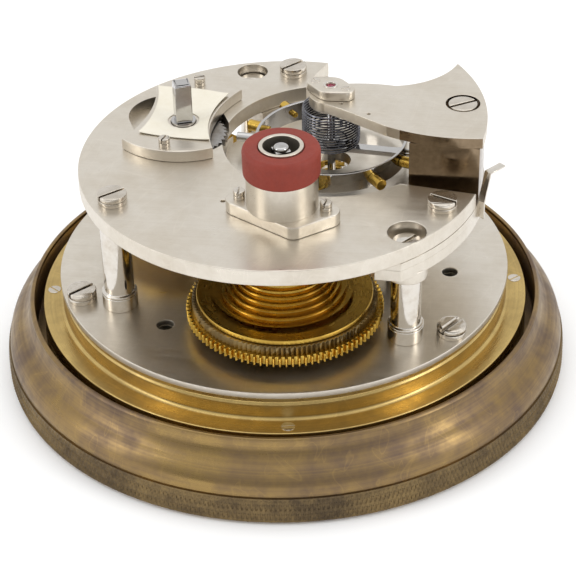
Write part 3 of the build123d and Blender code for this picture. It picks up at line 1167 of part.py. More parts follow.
# Going train and motion work
with BuildPart() as centre_arbor:
    turn_steps(
        CENTRE,
        MINUTE_HAND_BASE - 0.4,
        (CANNON_HOLE, PLATE_BACK - SHAKE),
        (CENTRE_PIVOT_RADIUS, PLATE_TOP + SHAKE),
        (CENTRE_ARBOR_RADIUS, BRIDGE_UNDER - SHAKE),
        (CENTRE_PIVOT_RADIUS, TOP_UNDER - 1),
    )
    phase = bearing(CENTRE, FUSEE) + 180 / CENTRE_LEAVES
    add_pinion(CENTRE, CENTRE_PINION_BASE, 3.2, CENTRE_LEAVES, GREAT_MODULE, phase)
centre_arbor.part.label = "centre_arbor"
export_step(centre_arbor.part, "parts/centre_arbor.step")

with BuildPart() as centre_wheel:
    rim = CENTRE_TEETH * CENTRE_MODULE / 2 - 1.9
    add_wheel_teeth(CENTRE, CENTRE_WHEEL_BASE, WHEEL_THICKNESS, CENTRE_TEETH, CENTRE_MODULE, bearing(CENTRE, THIRD))
    cut_crossings(CENTRE, CENTRE_WHEEL_BASE, WHEEL_THICKNESS, rim, 3.6, 5, 1.4)
    bore(CENTRE, CENTRE_ARBOR_RADIUS, CENTRE_WHEEL_BASE, CENTRE_WHEEL_BASE + WHEEL_THICKNESS)
centre_wheel.part.label = "centre_wheel"
export_step(centre_wheel.part, "parts/centre_wheel.step")

with BuildPart() as cannon_pinion:
    add_round(CENTRE, CANNON_RADIUS, MINUTE_HAND_BASE, PLATE_BACK - SHAKE)
    phase = bearing(CENTRE, MINUTE_STUD) + 180 / CANNON_LEAVES
    add_pinion(CENTRE, CANNON_BASE, 1.6, CANNON_LEAVES, CANNON_MODULE, phase)
    bore(CENTRE, CANNON_HOLE, MINUTE_HAND_BASE, PLATE_BACK)
cannon_pinion.part.label = "cannon_pinion"
export_step(cannon_pinion.part, "parts/cannon_pinion.step")

with BuildPart() as minute_hand:
    add_hand(CENTRE, MINUTE_HAND_BASE, 2.3, CANNON_RADIUS, MINUTE_HAND_LENGTH, -30)
minute_hand.part.label = "minute_hand"
export_step(minute_hand.part, "parts/minute_hand.step")

with BuildPart() as minute_wheel:
    phase = bearing(MINUTE_STUD, CENTRE)
    rim = MINUTE_TEETH * CANNON_MODULE / 2 - 1.3
    wheel_top = MINUTE_WHEEL_BASE + WHEEL_THICKNESS
    pinion_height = MINUTE_WHEEL_BASE - MINUTE_PINION_BASE
    add_wheel_teeth(MINUTE_STUD, MINUTE_WHEEL_BASE, WHEEL_THICKNESS, MINUTE_TEETH, CANNON_MODULE, phase)
    cut_crossings(MINUTE_STUD, MINUTE_WHEEL_BASE, WHEEL_THICKNESS, rim, 2.1, 4, 0.9)
    add_pinion(
        MINUTE_STUD, MINUTE_PINION_BASE, pinion_height, MINUTE_LEAVES, HOUR_MODULE, phase + 180 / MINUTE_LEAVES
    )
    bore(MINUTE_STUD, MINUTE_STUD_RADIUS + RUNNING, MINUTE_PINION_BASE, wheel_top)
minute_wheel.part.label = "minute_wheel"
export_step(minute_wheel.part, "parts/minute_wheel.step")

with BuildPart() as hour_wheel:
    rim = HOUR_TEETH * HOUR_MODULE / 2 - 1.3
    add_wheel_teeth(CENTRE, HOUR_WHEEL_BASE, WHEEL_THICKNESS, HOUR_TEETH, HOUR_MODULE, bearing(CENTRE, MINUTE_STUD))
    cut_crossings(CENTRE, HOUR_WHEEL_BASE, WHEEL_THICKNESS, rim, 3.0, 4, 1.0)
    add_round(CENTRE, HOUR_PIPE_RADIUS, HOUR_HAND_BASE, HOUR_WHEEL_BASE + 0.5)
    bore(CENTRE, CANNON_RADIUS + RUNNING, HOUR_HAND_BASE, HOUR_WHEEL_BASE + WHEEL_THICKNESS)
hour_wheel.part.label = "hour_wheel"
export_step(hour_wheel.part, "parts/hour_wheel.step")

with BuildPart() as hour_hand:
    add_hand(CENTRE, HOUR_HAND_BASE, 3.1, HOUR_PIPE_RADIUS, HOUR_HAND_LENGTH, -145)
hour_hand.part.label = "hour_hand"
export_step(hour_hand.part, "parts/hour_hand.step")

with BuildPart() as third_wheel:
    rim = THIRD_TEETH * THIRD_MODULE / 2 - 1.6
    phase = bearing(THIRD, CENTRE) + 180 / THIRD_LEAVES
    add_wheel_teeth(THIRD, THIRD_WHEEL_BASE, WHEEL_THICKNESS, THIRD_TEETH, THIRD_MODULE, bearing(THIRD, FOURTH))
    cut_crossings(THIRD, THIRD_WHEEL_BASE, WHEEL_THICKNESS, rim, 2.6, 5, 1.1)
    add_pinion(THIRD, THIRD_PINION_BASE, 1.7, THIRD_LEAVES, CENTRE_MODULE, phase)
    turn_steps(
        THIRD,
        PLATE_TOP - JEWEL_THICKNESS + 0.1,
        (PIVOT_RADIUS, PLATE_TOP + SHAKE),
        (ARBOR_RADIUS, THIRD_COCK_BASE - SHAKE),
        (PIVOT_RADIUS, THIRD_COCK_BASE + JEWEL_THICKNESS),
    )
third_wheel.part.label = "third_wheel"
export_step(third_wheel.part, "parts/third_wheel.step")

with BuildPart() as fourth_wheel:
    rim = FOURTH_TEETH * FOURTH_MODULE / 2 - 1.5
    phase = bearing(FOURTH, THIRD) + 180 / FOURTH_LEAVES
    add_wheel_teeth(FOURTH, FOURTH_WHEEL_BASE, WHEEL_THICKNESS, FOURTH_TEETH, FOURTH_MODULE, bearing(FOURTH, ESCAPE))
    cut_crossings(FOURTH, FOURTH_WHEEL_BASE, WHEEL_THICKNESS, rim, 2.4, 5, 1.0)
    add_pinion(FOURTH, FOURTH_PINION_BASE, 1.6, FOURTH_LEAVES, THIRD_MODULE, phase)
    turn_steps(
        FOURTH,
        SMALL_HAND_BASE - 0.2,
        (FOURTH_PIVOT_RADIUS, PLATE_TOP + SHAKE),
        (ARBOR_RADIUS, BRIDGE_UNDER - SHAKE),
        (PIVOT_RADIUS, BRIDGE_UNDER + JEWEL_THICKNESS),
    )
fourth_wheel.part.label = "fourth_wheel"
export_step(fourth_wheel.part, "parts/fourth_wheel.step")

with BuildPart() as seconds_hand:
    add_hand(FOURTH, SMALL_HAND_BASE, 1.1, FOURTH_PIVOT_RADIUS, SECONDS_HAND_LENGTH, 40)
seconds_hand.part.label = "seconds_hand"
export_step(seconds_hand.part, "parts/seconds_hand.step")

# Escapement
with BuildPart() as escape_wheel:
    pitch = 360 / ESCAPE_TEETH
    teeth_outline = []
    for number in range(ESCAPE_TEETH):
        tip_angle = LOCK_TURN + (number - 0.25) * pitch
        teeth_outline.append(polar(0.74 * ESCAPE_RADIUS, tip_angle - 0.86 * pitch))
        teeth_outline.append(polar(0.78 * ESCAPE_RADIUS, tip_angle - 0.5 * pitch))
        teeth_outline.append(polar(ESCAPE_RADIUS, tip_angle - 0.1 * pitch))
        teeth_outline.append(polar(ESCAPE_RADIUS, tip_angle))
        teeth_outline.append(polar(0.74 * ESCAPE_RADIUS, tip_angle - 0.2 * pitch))
    add_outline(ESCAPE, ESCAPE_BASE, WHEEL_THICKNESS, teeth_outline)
    cut_crossings(ESCAPE, ESCAPE_BASE, WHEEL_THICKNESS, 0.6 * ESCAPE_RADIUS, 1.5, 4, 0.7)
    phase = bearing(ESCAPE, FOURTH) + 180 / ESCAPE_LEAVES
    add_pinion(ESCAPE, FOURTH_WHEEL_BASE - 0.2, 1.4, ESCAPE_LEAVES, FOURTH_MODULE, phase)
    turn_steps(
        ESCAPE,
        PLATE_TOP - JEWEL_THICKNESS + 0.1,
        (PIVOT_RADIUS, PLATE_TOP + SHAKE),
        (ARBOR_RADIUS, BRIDGE_UNDER - SHAKE),
        (PIVOT_RADIUS, BRIDGE_UNDER + JEWEL_THICKNESS),
    )
escape_wheel.part.label = "escape_wheel"
export_step(escape_wheel.part, "parts/escape_wheel.step")

with BuildPart() as detent:
    horn = DETENT_LENGTH - 1.6
    with BuildSketch(level(DETENT_FOOT, DETENT_BASE, LOCK_TURN - 90)):
        Rectangle(2.4, 1.6)
        Rectangle(DETENT_SPRING_LENGTH, 0.2, align=(Align.MIN, Align.CENTER))
        with Locations((DETENT_SPRING_LENGTH, 0)):
            Rectangle(DETENT_REACH - DETENT_SPRING_LENGTH + 0.6, 0.9, align=(Align.MIN, Align.CENTER))
        with BuildLine():
            Polyline((DETENT_REACH, 0.45), (horn, 0.25), (DETENT_LENGTH, 0.1), (DETENT_LENGTH, -0.1))
            Polyline((DETENT_LENGTH, -0.1), (horn, -0.25), (DETENT_REACH, -0.45), (DETENT_REACH, 0.45))
        make_face()
    extrude(amount=DETENT_THICKNESS)
    stone = polar(ESCAPE_RADIUS + TOOTH_GAP + 0.35, LOCK_TURN, ESCAPE)
    add_round(stone, 0.35, DETENT_TOP, ESCAPE_BASE + 0.8)
detent.part.label = "detent"
export_step(detent.part, "parts/detent.step")

with BuildPart() as detent_foot:
    with BuildSketch(level(DETENT_FOOT, DETENT_TOP + SHAKE, LOCK_TURN + 90)):
        RectangleRounded(5.0, 3.0, 0.6)
    extrude(amount=BRIDGE_UNDER - DETENT_TOP - SHAKE)
detent_foot.part.label = "detent_foot"
export_step(detent_foot.part, "parts/detent_foot.step")

# Balance
with BuildPart() as balance_wheel:
    add_ring(BALANCE, RIM_RADIUS, RIM_RADIUS - RIM_THICKNESS, RIM_BASE, RIM_BASE + RIM_HEIGHT)
    chamfer(balance_wheel.edges().filter_by(GeomType.CIRCLE), 0.12)
    with BuildSketch(level(BALANCE, ARM_BASE, BALANCE_ARM_TURN)):
        Rectangle(2 * RIM_RADIUS - RIM_THICKNESS, BALANCE_ARM_WIDTH)
        Circle(2.6)
    extrude(amount=BALANCE_ARM_THICKNESS)
    bore(BALANCE, STAFF_RADIUS, ARM_BASE, ARM_BASE + BALANCE_ARM_THICKNESS)
    for turn in (BALANCE_ARM_TURN, BALANCE_ARM_TURN + 180):
        inner_end = polar(RIM_RADIUS - RIM_THICKNESS / 2, turn, BALANCE)
        outward = (*polar(1, turn), 0)
        with BuildSketch(Plane(origin=(*inner_end, ARM_BASE + 0.6), x_dir=(0, 0, 1), z_dir=outward)):
            Circle(END_WEIGHT_RADIUS)
        extrude(amount=END_WEIGHT_REACH - RIM_RADIUS + RIM_THICKNESS / 2)
balance_wheel.part.label = "balance_wheel"
export_step(balance_wheel.part, "parts/balance_wheel.step")

with BuildPart() as balance_weights:
    for turn in TIMING_WEIGHT_TURNS:
        inner_end = polar(RIM_RADIUS, turn, BALANCE)
        outward = (*polar(1, turn), 0)
        with BuildSketch(Plane(origin=(*inner_end, ARM_BASE + 1.0), x_dir=(0, 0, 1), z_dir=outward)):
            Circle(TIMING_WEIGHT_RADIUS)
        extrude(amount=TIMING_WEIGHT_REACH - RIM_RADIUS)
balance_weights.part.label = "balance_weights"
export_step(balance_weights.part, "parts/balance_weights.step")

with BuildPart() as balance_staff:
    roller_base = ESCAPE_BASE - 0.1
    turn_steps(
        BALANCE,
        LOWER_BRIDGE_TOP - JEWEL_THICKNESS + 0.03,
        (PIVOT_RADIUS, LOWER_BRIDGE_TOP + SHAKE),
        (STAFF_RADIUS, DETENT_BASE + 0.1),
        (DISCHARGE_ROLLER_RADIUS, DETENT_TOP),
        (STAFF_RADIUS, roller_base),
        (IMPULSE_ROLLER_RADIUS, roller_base + ROLLER_THICKNESS),
        (STAFF_RADIUS, HAIRSPRING_BASE - 0.3),
        (COLLET_RADIUS, HAIRSPRING_BASE + 1.1),
        (STAFF_RADIUS, COCK_TOP - JEWEL_THICKNESS - SHAKE),
        (PIVOT_RADIUS, COCK_TOP - 0.01),
    )
    jewel_turn = LOCK_TURN - 90
    with BuildSketch(level(BALANCE, DETENT_BASE + 0.1, jewel_turn)):
        Rectangle(DISCHARGE_JEWEL_REACH, 0.4, align=(Align.MIN, Align.CENTER))
    extrude(amount=DETENT_THICKNESS - 0.1)
    bore(polar(IMPULSE_ROLLER_RADIUS, jewel_turn, BALANCE), 0.8, roller_base, roller_base + ROLLER_THICKNESS)
    with BuildSketch(level(BALANCE, HAIRSPRING_BASE - 0.2)):
        Rectangle(HAIRSPRING_RADIUS - HAIRSPRING_WIRE / 2 - RUNNING, 0.9, align=(Align.MIN, Align.CENTER))
    extrude(amount=0.5)
balance_staff.part.label = "balance_staff"
export_step(balance_staff.part, "parts/balance_staff.step")

with BuildPart() as hairspring:
    coil_height = HAIRSPRING_COILS * HAIRSPRING_PITCH
    coil = Helix(HAIRSPRING_PITCH, coil_height, HAIRSPRING_RADIUS, center=(*BALANCE, HAIRSPRING_BASE))
    with BuildSketch(Plane(origin=coil @ 0, z_dir=coil % 0)):
        Rectangle(HAIRSPRING_WIRE, HAIRSPRING_WIRE)
    sweep(path=coil, is_frenet=True)
hairspring.part.label = "hairspring"
export_step(hairspring.part, "parts/hairspring.step")

# Up-down indicator
with BuildPart() as updown_wheel:
    phase = bearing(UPDOWN, FUSEE) + 180 / UPDOWN_TEETH
    rim = UPDOWN_TEETH * UPDOWN_MODULE / 2 - 1.2
    add_wheel_teeth(UPDOWN, UPDOWN_WHEEL_BASE, WHEEL_THICKNESS, UPDOWN_TEETH, UPDOWN_MODULE, phase)
    cut_crossings(UPDOWN, UPDOWN_WHEEL_BASE, WHEEL_THICKNESS, rim, 1.8, 4, 0.9)
    add_round(UPDOWN, FOURTH_PIVOT_RADIUS, SMALL_HAND_BASE - 0.2, PLATE_TOP - 1.1)
    add_hand(UPDOWN, SMALL_HAND_BASE, 1.1, 0.1, UPDOWN_HAND_LENGTH, -120)
updown_wheel.part.label = "updown_wheel"
export_step(updown_wheel.part, "parts/updown_wheel.step")
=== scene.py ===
# %% [markdown]
# # A marine chronometer movement, dressed
#
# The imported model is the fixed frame: every piece is at its real place, in metres, with +Z up. This lesson gives it
# its looks. Most visible pieces are rebuilt as fine surfaces worked out with numpy, because a lathe-turned edge or a
# wheel tooth catches the light only if its curve is smooth and its corner is rounded. The inner pieces keep their
# solids and get the same softened edges from a modifier.

# %% Load the frame
import json
from math import atan2, cos, degrees, hypot, pi, radians, sin, sqrt

import bmesh
import bpy
import numpy as np
from mathutils import Matrix, Vector


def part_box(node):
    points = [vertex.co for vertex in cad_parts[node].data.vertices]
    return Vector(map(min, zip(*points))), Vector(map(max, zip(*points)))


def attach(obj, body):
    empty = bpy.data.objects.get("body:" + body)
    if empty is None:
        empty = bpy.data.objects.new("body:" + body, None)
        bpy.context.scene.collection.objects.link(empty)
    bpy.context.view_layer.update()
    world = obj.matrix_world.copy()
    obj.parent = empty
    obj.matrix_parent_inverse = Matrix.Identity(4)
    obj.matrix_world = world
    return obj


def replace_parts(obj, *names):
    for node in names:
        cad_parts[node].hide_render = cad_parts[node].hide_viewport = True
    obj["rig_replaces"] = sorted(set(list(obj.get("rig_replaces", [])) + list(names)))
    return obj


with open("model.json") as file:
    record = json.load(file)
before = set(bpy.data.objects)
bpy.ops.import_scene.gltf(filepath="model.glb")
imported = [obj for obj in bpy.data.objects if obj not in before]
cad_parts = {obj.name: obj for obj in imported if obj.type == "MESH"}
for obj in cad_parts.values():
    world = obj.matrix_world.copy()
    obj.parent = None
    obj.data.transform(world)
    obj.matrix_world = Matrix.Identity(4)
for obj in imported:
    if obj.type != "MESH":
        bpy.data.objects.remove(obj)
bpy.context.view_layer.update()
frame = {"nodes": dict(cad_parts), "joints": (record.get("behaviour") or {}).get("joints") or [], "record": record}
record = frame["record"]
node_slot = {part["node"]: part["material_slot"] for part in record["subparts"]}
body_of_node = {name: body for body, names in record["behaviour"]["bodies"].items() for name in names}
MM = 0.001
FRAME_BODY = "movement_frame"


# %% [markdown]
# ## Sizes that the pieces share
#
# The heights of the faces come from the frame's boxes, so a piece can't drift from what carries it. Radii and
# places in plan are in millimetres from the centre arbor, as a watchmaker's drawing gives them.

# %% Heights and places
def low(node):
    """The lowest height of a node, in millimetres."""
    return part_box(node)[0].z / MM


def high(node):
    """The highest height of a node, in millimetres."""
    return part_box(node)[1].z / MM


def joint_place(name):
    """Where a joint's axis stands in plan, in millimetres."""
    point = next(joint["pos_m"] for joint in frame["joints"] if joint["name"] == name)
    return (point[0] / MM, point[1] / MM)


CENTRE = (0.0, 0.0)
FUSEE = joint_place("fusee_turn")
BARREL = joint_place("barrel_turn")
BALANCE = joint_place("balance_swing")
FOURTH = joint_place("fourth_turn")
UPDOWN = joint_place("updown_turn")
TOP_UNDER = low("top_plate")
TOP_FACE = high("top_plate")
PLATE_TOP = high("pillar_plate")
PLATE_SEAT = high("seating_ring")
FLANGE_TOP = PLATE_SEAT - 5.66
FLANGE_LOW = low("seating_ring")
COCK_TOP = high("balance_cock")
COCK_UNDER = COCK_TOP - 2.5
BRIDGE_UNDER = low("train_bridge") + 2.3
EDGE = 0.16  # how far an ordinary edge is rounded over
print("plate", round(PLATE_TOP, 2), "top plate", round(TOP_UNDER, 2), round(TOP_FACE, 2))

# %% [markdown]
# ## Curves and surfaces
#
# A turned piece is a profile carried round an axis. A plate is an outline with holes, filled and given a rounded
# edge. Both start from points in the plane, so the first helpers make arcs, rounded corners and wrapped outlines.


# %% Points in the plane
def polar(radius, angle, centre=CENTRE):
    """The point at an angle in degrees on a circle."""
    return (centre[0] + radius * cos(radians(angle)), centre[1] + radius * sin(radians(angle)))


def bearing(start, end):
    """The direction of one point seen from another, in degrees."""
    return degrees(atan2(end[1] - start[1], end[0] - start[0]))


def arc(centre, radius, first, last, steps=24):
    """Points at equal angles on a circle, from one angle to another, both in degrees."""
    turn = np.radians(np.linspace(first, last, steps + 1))
    return np.stack([centre[0] + radius * np.cos(turn), centre[1] + radius * np.sin(turn)], 1)


def arc_through(start, middle, end, steps=24):
    """The arc through three points. Its centre is where two chords' middle lines cross."""
    a, b, c = (np.array(p, float) for p in (start, middle, end))
    rows = 2 * np.array([b - a, c - a])
    centre = np.linalg.solve(rows, np.array([b @ b - a @ a, c @ c - a @ a]))
    angles = [atan2(*(p - centre)[::-1]) for p in (a, b, c)]
    sweep = (angles[2] - angles[0]) % (2 * pi)
    if (angles[1] - angles[0]) % (2 * pi) > sweep:
        sweep -= 2 * pi
    turn = angles[0] + np.linspace(0, sweep, steps + 1)
    return centre + np.linalg.norm(a - centre) * np.stack([np.cos(turn), np.sin(turn)], 1)


def rounded(corners, radius, closed=True, steps=4):
    """A path with each corner replaced by a quadratic curve that leaves and meets its two sides at one distance."""
    corners = np.array(corners, float)
    before, after = np.roll(corners, 1, 0), np.roll(corners, -1, 0)
    back, ahead = before - corners, after - corners
    back_length = np.linalg.norm(back, axis=1, keepdims=True)
    ahead_length = np.linalg.norm(ahead, axis=1, keepdims=True)
    reach = np.minimum(radius, 0.45 * np.minimum(back_length, ahead_length))
    start, end = corners + back / back_length * reach, corners + ahead / ahead_length * reach
    t = np.linspace(0, 1, steps + 1)[None, :, None]
    curve = start[:, None] * (1 - t) ** 2 + 2 * corners[:, None] * t * (1 - t) + end[:, None] * t**2
    if closed:
        return curve.reshape(-1, 2)
    return np.concatenate([corners[:1], curve[1:-1].reshape(-1, 2), corners[-1:]])


def wrapped(*circles):
    """The outline wrapped round circles, each (place, radius): the convex hull of their points."""
    points = np.concatenate([arc(place, radius, 0, 360, 72)[:-1] for place, radius in circles])
    points = points[np.lexsort((points[:, 1], points[:, 0]))].tolist()
    halves = []
    for ordered in (points, points[::-1]):
        half = []
        for p in ordered:
            while len(half) > 1 and (half[-1][0] - half[-2][0]) * (p[1] - half[-2][1]) <= (
                half[-1][1] - half[-2][1]
            ) * (p[0] - half[-2][0]):
                half.pop()
            half.append(p)
        halves += half[:-1]
    return np.array(halves)


def circle(place, radius, steps=72):
    """A closed circle as an outline or a hole."""
    return arc(place, radius, 0, 360, steps)[:-1]


# %% [markdown]
# A grid of points becomes a surface by joining neighbours with four-sided faces. The faces are worked out as one
# array of corner numbers. Wrapping a direction joins its last row to its first, which closes a ring without a seam.
# Points that fall together, as at a pole, are merged, and then every face is turned to look outwards.


# %% Meshes from arrays
def grid_faces(rows, columns, wrap_rows=False, wrap_columns=True):
    """Corner numbers of the four-sided faces of a grid of points."""
    r = np.arange(rows if wrap_rows else rows - 1)[:, None]
    c = np.arange(columns if wrap_columns else columns - 1)[None, :]
    r2, c2 = (r + 1) % rows, (c + 1) % columns
    corners = [r * columns + c, r * columns + c2, r2 * columns + c2, r2 * columns + c]
    return np.stack([np.broadcast_to(k, (r.size, c.size)).ravel() for k in corners], 1)


def mesh_from(name, points, faces):
    """A mesh from points in millimetres and an array of corner numbers, merged and turned outwards."""
    mesh = bpy.data.meshes.new(name)
    mesh.from_pydata((np.asarray(points) * MM).tolist(), [], np.asarray(faces).tolist())
    return tidied(mesh)


def tidied(mesh, gap=2e-7):
    """Merge doubled points, drop faces with no area and turn the rest outwards."""
    work = bmesh.new()
    work.from_mesh(mesh)
    bmesh.ops.remove_doubles(work, verts=work.verts, dist=gap)
    bmesh.ops.dissolve_degenerate(work, dist=gap, edges=work.edges)
    bmesh.ops.recalc_face_normals(work, faces=work.faces)
    work.to_mesh(mesh)
    work.free()
    return mesh


def lathe_mesh(name, profile, centre=CENTRE, steps=128, closed=True):
    """A profile of (radius, height) points carried round an upright axis."""
    profile = np.asarray(profile, float)
    turn = np.linspace(0, 2 * pi, steps, endpoint=False)
    x = centre[0] + profile[:, :1] * np.cos(turn)
    y = centre[1] + profile[:, :1] * np.sin(turn)
    z = np.broadcast_to(profile[:, 1:], x.shape)
    return mesh_from(name, np.stack([x, y, z], -1).reshape(-1, 3), grid_faces(len(profile), steps, closed))


def plate_mesh(name, outline, holes, base, top, edge=EDGE):
    """A filled outline with holes, given a height and a rounded edge. A flat curve does the filling."""
    curve = bpy.data.curves.new(name, "CURVE")
    curve.dimensions = "2D"
    curve.fill_mode = "BOTH"
    for loop in (outline, *holes):
        spline = curve.splines.new("POLY")
        spline.points.add(len(loop) - 1)
        flat = np.zeros((len(loop), 4))
        flat[:, :2] = np.asarray(loop) * MM
        flat[:, 3] = 1
        spline.points.foreach_set("co", flat.ravel())
        spline.use_cyclic_u = True
    edge = min(edge, 0.45 * (top - base))
    curve.extrude = (0.5 * (top - base) - edge) * MM
    curve.bevel_depth = edge * MM
    curve.offset = -edge * MM
    curve.bevel_resolution = 1
    holder = bpy.data.objects.new(name, curve)
    mesh = bpy.data.meshes.new_from_object(holder)
    bpy.data.objects.remove(holder)
    mesh.transform(Matrix.Translation((0, 0, 0.5 * (top + base) * MM)))
    mesh.materials.clear()
    return tidied(mesh)


def joined(name, *meshes):
    """Several meshes as one."""
    work = bmesh.new()
    for mesh in meshes:
        work.from_mesh(mesh)
    result = bpy.data.meshes.new(name)
    work.to_mesh(result)
    work.free()
    return result


# %% [markdown]
# ## Finishes
#
# Each metal here is one Principled shader, and what makes it look real is what varies: the fine grain that a brush
# or a turning tool leaves, the blotches of old lacquer, the scratches of a century of repairs. These effects are
# shared, so each is a node group that puts out a value, and each material mixes them in its own amounts.


# %% Node helpers
def put(tree, kind, wires=None, **settings):
    """Add a node, set its properties, and give its inputs a number, a colour or another node's output."""
    node = tree.nodes.new(kind)
    for key, value in settings.items():
        setattr(node, key, value)
    for key, value in (wires or {}).items():
        socket = node.inputs[key]
        if isinstance(value, bpy.types.NodeSocket):
            tree.links.new(value, socket)
        else:
            socket.default_value = value
    return node


def math(tree, operation, a, b=0.0, clamp=False):
    """One Math node's result."""
    return put(tree, "ShaderNodeMath", {0: a, 1: b}, operation=operation, use_clamp=clamp).outputs[0]


def spread(tree, value, start, end, to_start=0.0, to_end=1.0):
    """A value moved from one range to another and held there."""
    wires = {"Value": value, "From Min": start, "From Max": end, "To Min": to_start, "To Max": to_end}
    return put(tree, "ShaderNodeMapRange", wires, clamp=True).outputs[0]


def mixed(tree, share, first, second):
    """Two colours mixed by a share."""
    return put(
        tree, "ShaderNodeMix", {"Factor": share, 6: first, 7: second}, data_type="RGBA"
    ).outputs[2]


def noise(tree, vector, scale, detail=2.0, rough=0.5):
    """A noise texture's value."""
    wires = {"Vector": vector, "Scale": scale, "Detail": detail, "Roughness": rough}
    return put(tree, "ShaderNodeTexNoise", wires).outputs["Fac"]


def group(name, inputs, build):
    """A node group with named inputs (name, type, value) and the outputs that build returns."""
    tree = bpy.data.node_groups.new(name, "ShaderNodeTree")
    for title, kind, value in inputs:
        socket = tree.interface.new_socket(title, in_out="INPUT", socket_type=kind)
        if value is not None:
            socket.default_value = value
    source = tree.nodes.new("NodeGroupInput")
    results = build(tree, source.outputs)
    target = tree.nodes.new("NodeGroupOutput")
    for title, socket in results.items():
        tree.interface.new_socket(title, in_out="OUTPUT", socket_type="NodeSocketFloat")
        tree.links.new(socket, target.inputs[title])
    return tree


# %% [markdown]
# Brushed grain is noise stretched a hundredfold along one direction: the abrasive runs along the sheet, so the
# surface varies quickly across the stroke and hardly along it. Turning marks are the same idea bent round an axis:
# the noise reads the distance from the axis, so it makes rings.


# %% Shared effects
def build_grain(tree, given):
    """Stretched noise, fine and coarse together, along the direction of the stroke."""
    turned = put(
        tree, "ShaderNodeVectorRotate", {"Vector": given["Vector"], "Angle": given["Angle"]}, rotation_type="Z_AXIS"
    ).outputs[0]
    parts = put(tree, "ShaderNodeSeparateXYZ", {0: turned}).outputs
    along = math(tree, "MULTIPLY", parts[0], 26.0)
    across = math(tree, "MULTIPLY", parts[1], 2600.0)
    upward = math(tree, "MULTIPLY", parts[2], 1500.0)
    stretched = put(tree, "ShaderNodeCombineXYZ", {0: along, 1: across, 2: upward}).outputs[0]
    fine = noise(tree, stretched, 1.0, 3.0, 0.6)
    longer = put(tree, "ShaderNodeVectorMath", {0: stretched, 1: (2.4, 0.22, 0.22)}, operation="MULTIPLY").outputs[0]
    coarse = noise(tree, longer, 1.0, 2.0, 0.5)
    return {"Grain": math(tree, "ADD", math(tree, "MULTIPLY", fine, 0.6), math(tree, "MULTIPLY", coarse, 0.4))}


def build_turning(tree, given):
    """Noise that reads the distance from an upright axis and the height, so that it makes rings."""
    offset = put(tree, "ShaderNodeVectorMath", {0: given["Vector"], 1: given["Axis"]}, operation="SUBTRACT").outputs[0]
    flat = put(tree, "ShaderNodeVectorMath", {0: offset, 1: (1, 1, 0)}, operation="MULTIPLY").outputs[0]
    reach = put(tree, "ShaderNodeVectorMath", {0: flat}, operation="LENGTH").outputs["Value"]
    parts = put(tree, "ShaderNodeSeparateXYZ", {0: offset}).outputs
    angle = math(tree, "ARCTAN2", parts[1], parts[0])
    rings = put(
        tree,
        "ShaderNodeCombineXYZ",
        {
            0: math(tree, "MULTIPLY", reach, 2400.0),
            1: math(tree, "MULTIPLY", parts[2], 2400.0),
            2: math(tree, "MULTIPLY", math(tree, "SINE", angle), 2.0),
        },
    ).outputs[0]
    return {"Rings": noise(tree, rings, 1.0, 3.0, 0.6)}


def build_patina(tree, given):
    """Large and small blotches multiplied, with soft borders: where lacquer has failed and metal has darkened."""
    large = noise(tree, given["Vector"], given["Scale"], 5.0, 0.62)
    shifted = put(tree, "ShaderNodeVectorMath", {0: given["Vector"], 1: (0.31, 0.17, 0.53)}, operation="ADD").outputs[0]
    small = noise(tree, shifted, math(tree, "MULTIPLY", given["Scale"], 6.5), 4.0, 0.6)
    both = math(tree, "ADD", math(tree, "MULTIPLY", large, 0.7), math(tree, "MULTIPLY", small, 0.3))
    half = math(tree, "MULTIPLY", given["Softness"], 0.5)
    return {
        "Mask": spread(tree, both, math(tree, "SUBTRACT", given["Level"], half), math(tree, "ADD", given["Level"], half))
    }


def build_specks(tree, given):
    """Small round marks: the cells of a Voronoi texture whose random value is high, near their centres."""
    cells = put(tree, "ShaderNodeTexVoronoi", {"Vector": given["Vector"], "Scale": given["Scale"]})
    near = spread(tree, cells.outputs["Distance"], 0.1, 0.32, 1.0, 0.0)
    chance = put(tree, "ShaderNodeSeparateXYZ", {0: cells.outputs["Color"]}).outputs[0]
    return {"Mask": math(tree, "MULTIPLY", near, spread(tree, chance, given["Level"], 1.0))}


def build_scratches(tree, given):
    """Thin lines in two directions: the narrow band where a warped, stretched noise passes its middle value."""
    lines = []
    for angle, seed in ((0.5, 0.0), (-0.9, 4.0), (1.8, 9.0)):
        turned = put(tree, "ShaderNodeVectorRotate", {"Vector": given["Vector"], "Angle": angle}, rotation_type="Z_AXIS")
        long = put(
            tree,
            "ShaderNodeVectorMath",
            {0: turned.outputs[0], 1: (60.0, 900.0, 300.0), 2: (seed, seed, seed)},
            operation="MULTIPLY_ADD",
        ).outputs[0]
        value = noise(tree, long, 0.35, 1.0, 0.4)
        band = math(tree, "ABSOLUTE", math(tree, "SUBTRACT", value, 0.62))
        lines.append(spread(tree, band, 0.0, 0.012, 1.0, 0.0))
    return {"Mask": math(tree, "MAXIMUM", math(tree, "MAXIMUM", lines[0], lines[1]), lines[2])}


VECTOR, NUMBER = "NodeSocketVector", "NodeSocketFloat"
EFFECTS = {
    "grain": group("brushed_grain", [("Vector", VECTOR, None), ("Angle", NUMBER, 0.0)], build_grain),
    "turning": group("turning_marks", [("Vector", VECTOR, None), ("Axis", VECTOR, None)], build_turning),
    "patina": group(
        "patina",
        [("Vector", VECTOR, None), ("Scale", NUMBER, 40.0), ("Level", NUMBER, 0.5), ("Softness", NUMBER, 0.12)],
        build_patina,
    ),
    "specks": group(
        "specks", [("Vector", VECTOR, None), ("Scale", NUMBER, 900.0), ("Level", NUMBER, 0.8)], build_specks
    ),
    "scratches": group("scratches", [("Vector", VECTOR, None)], build_scratches),
}


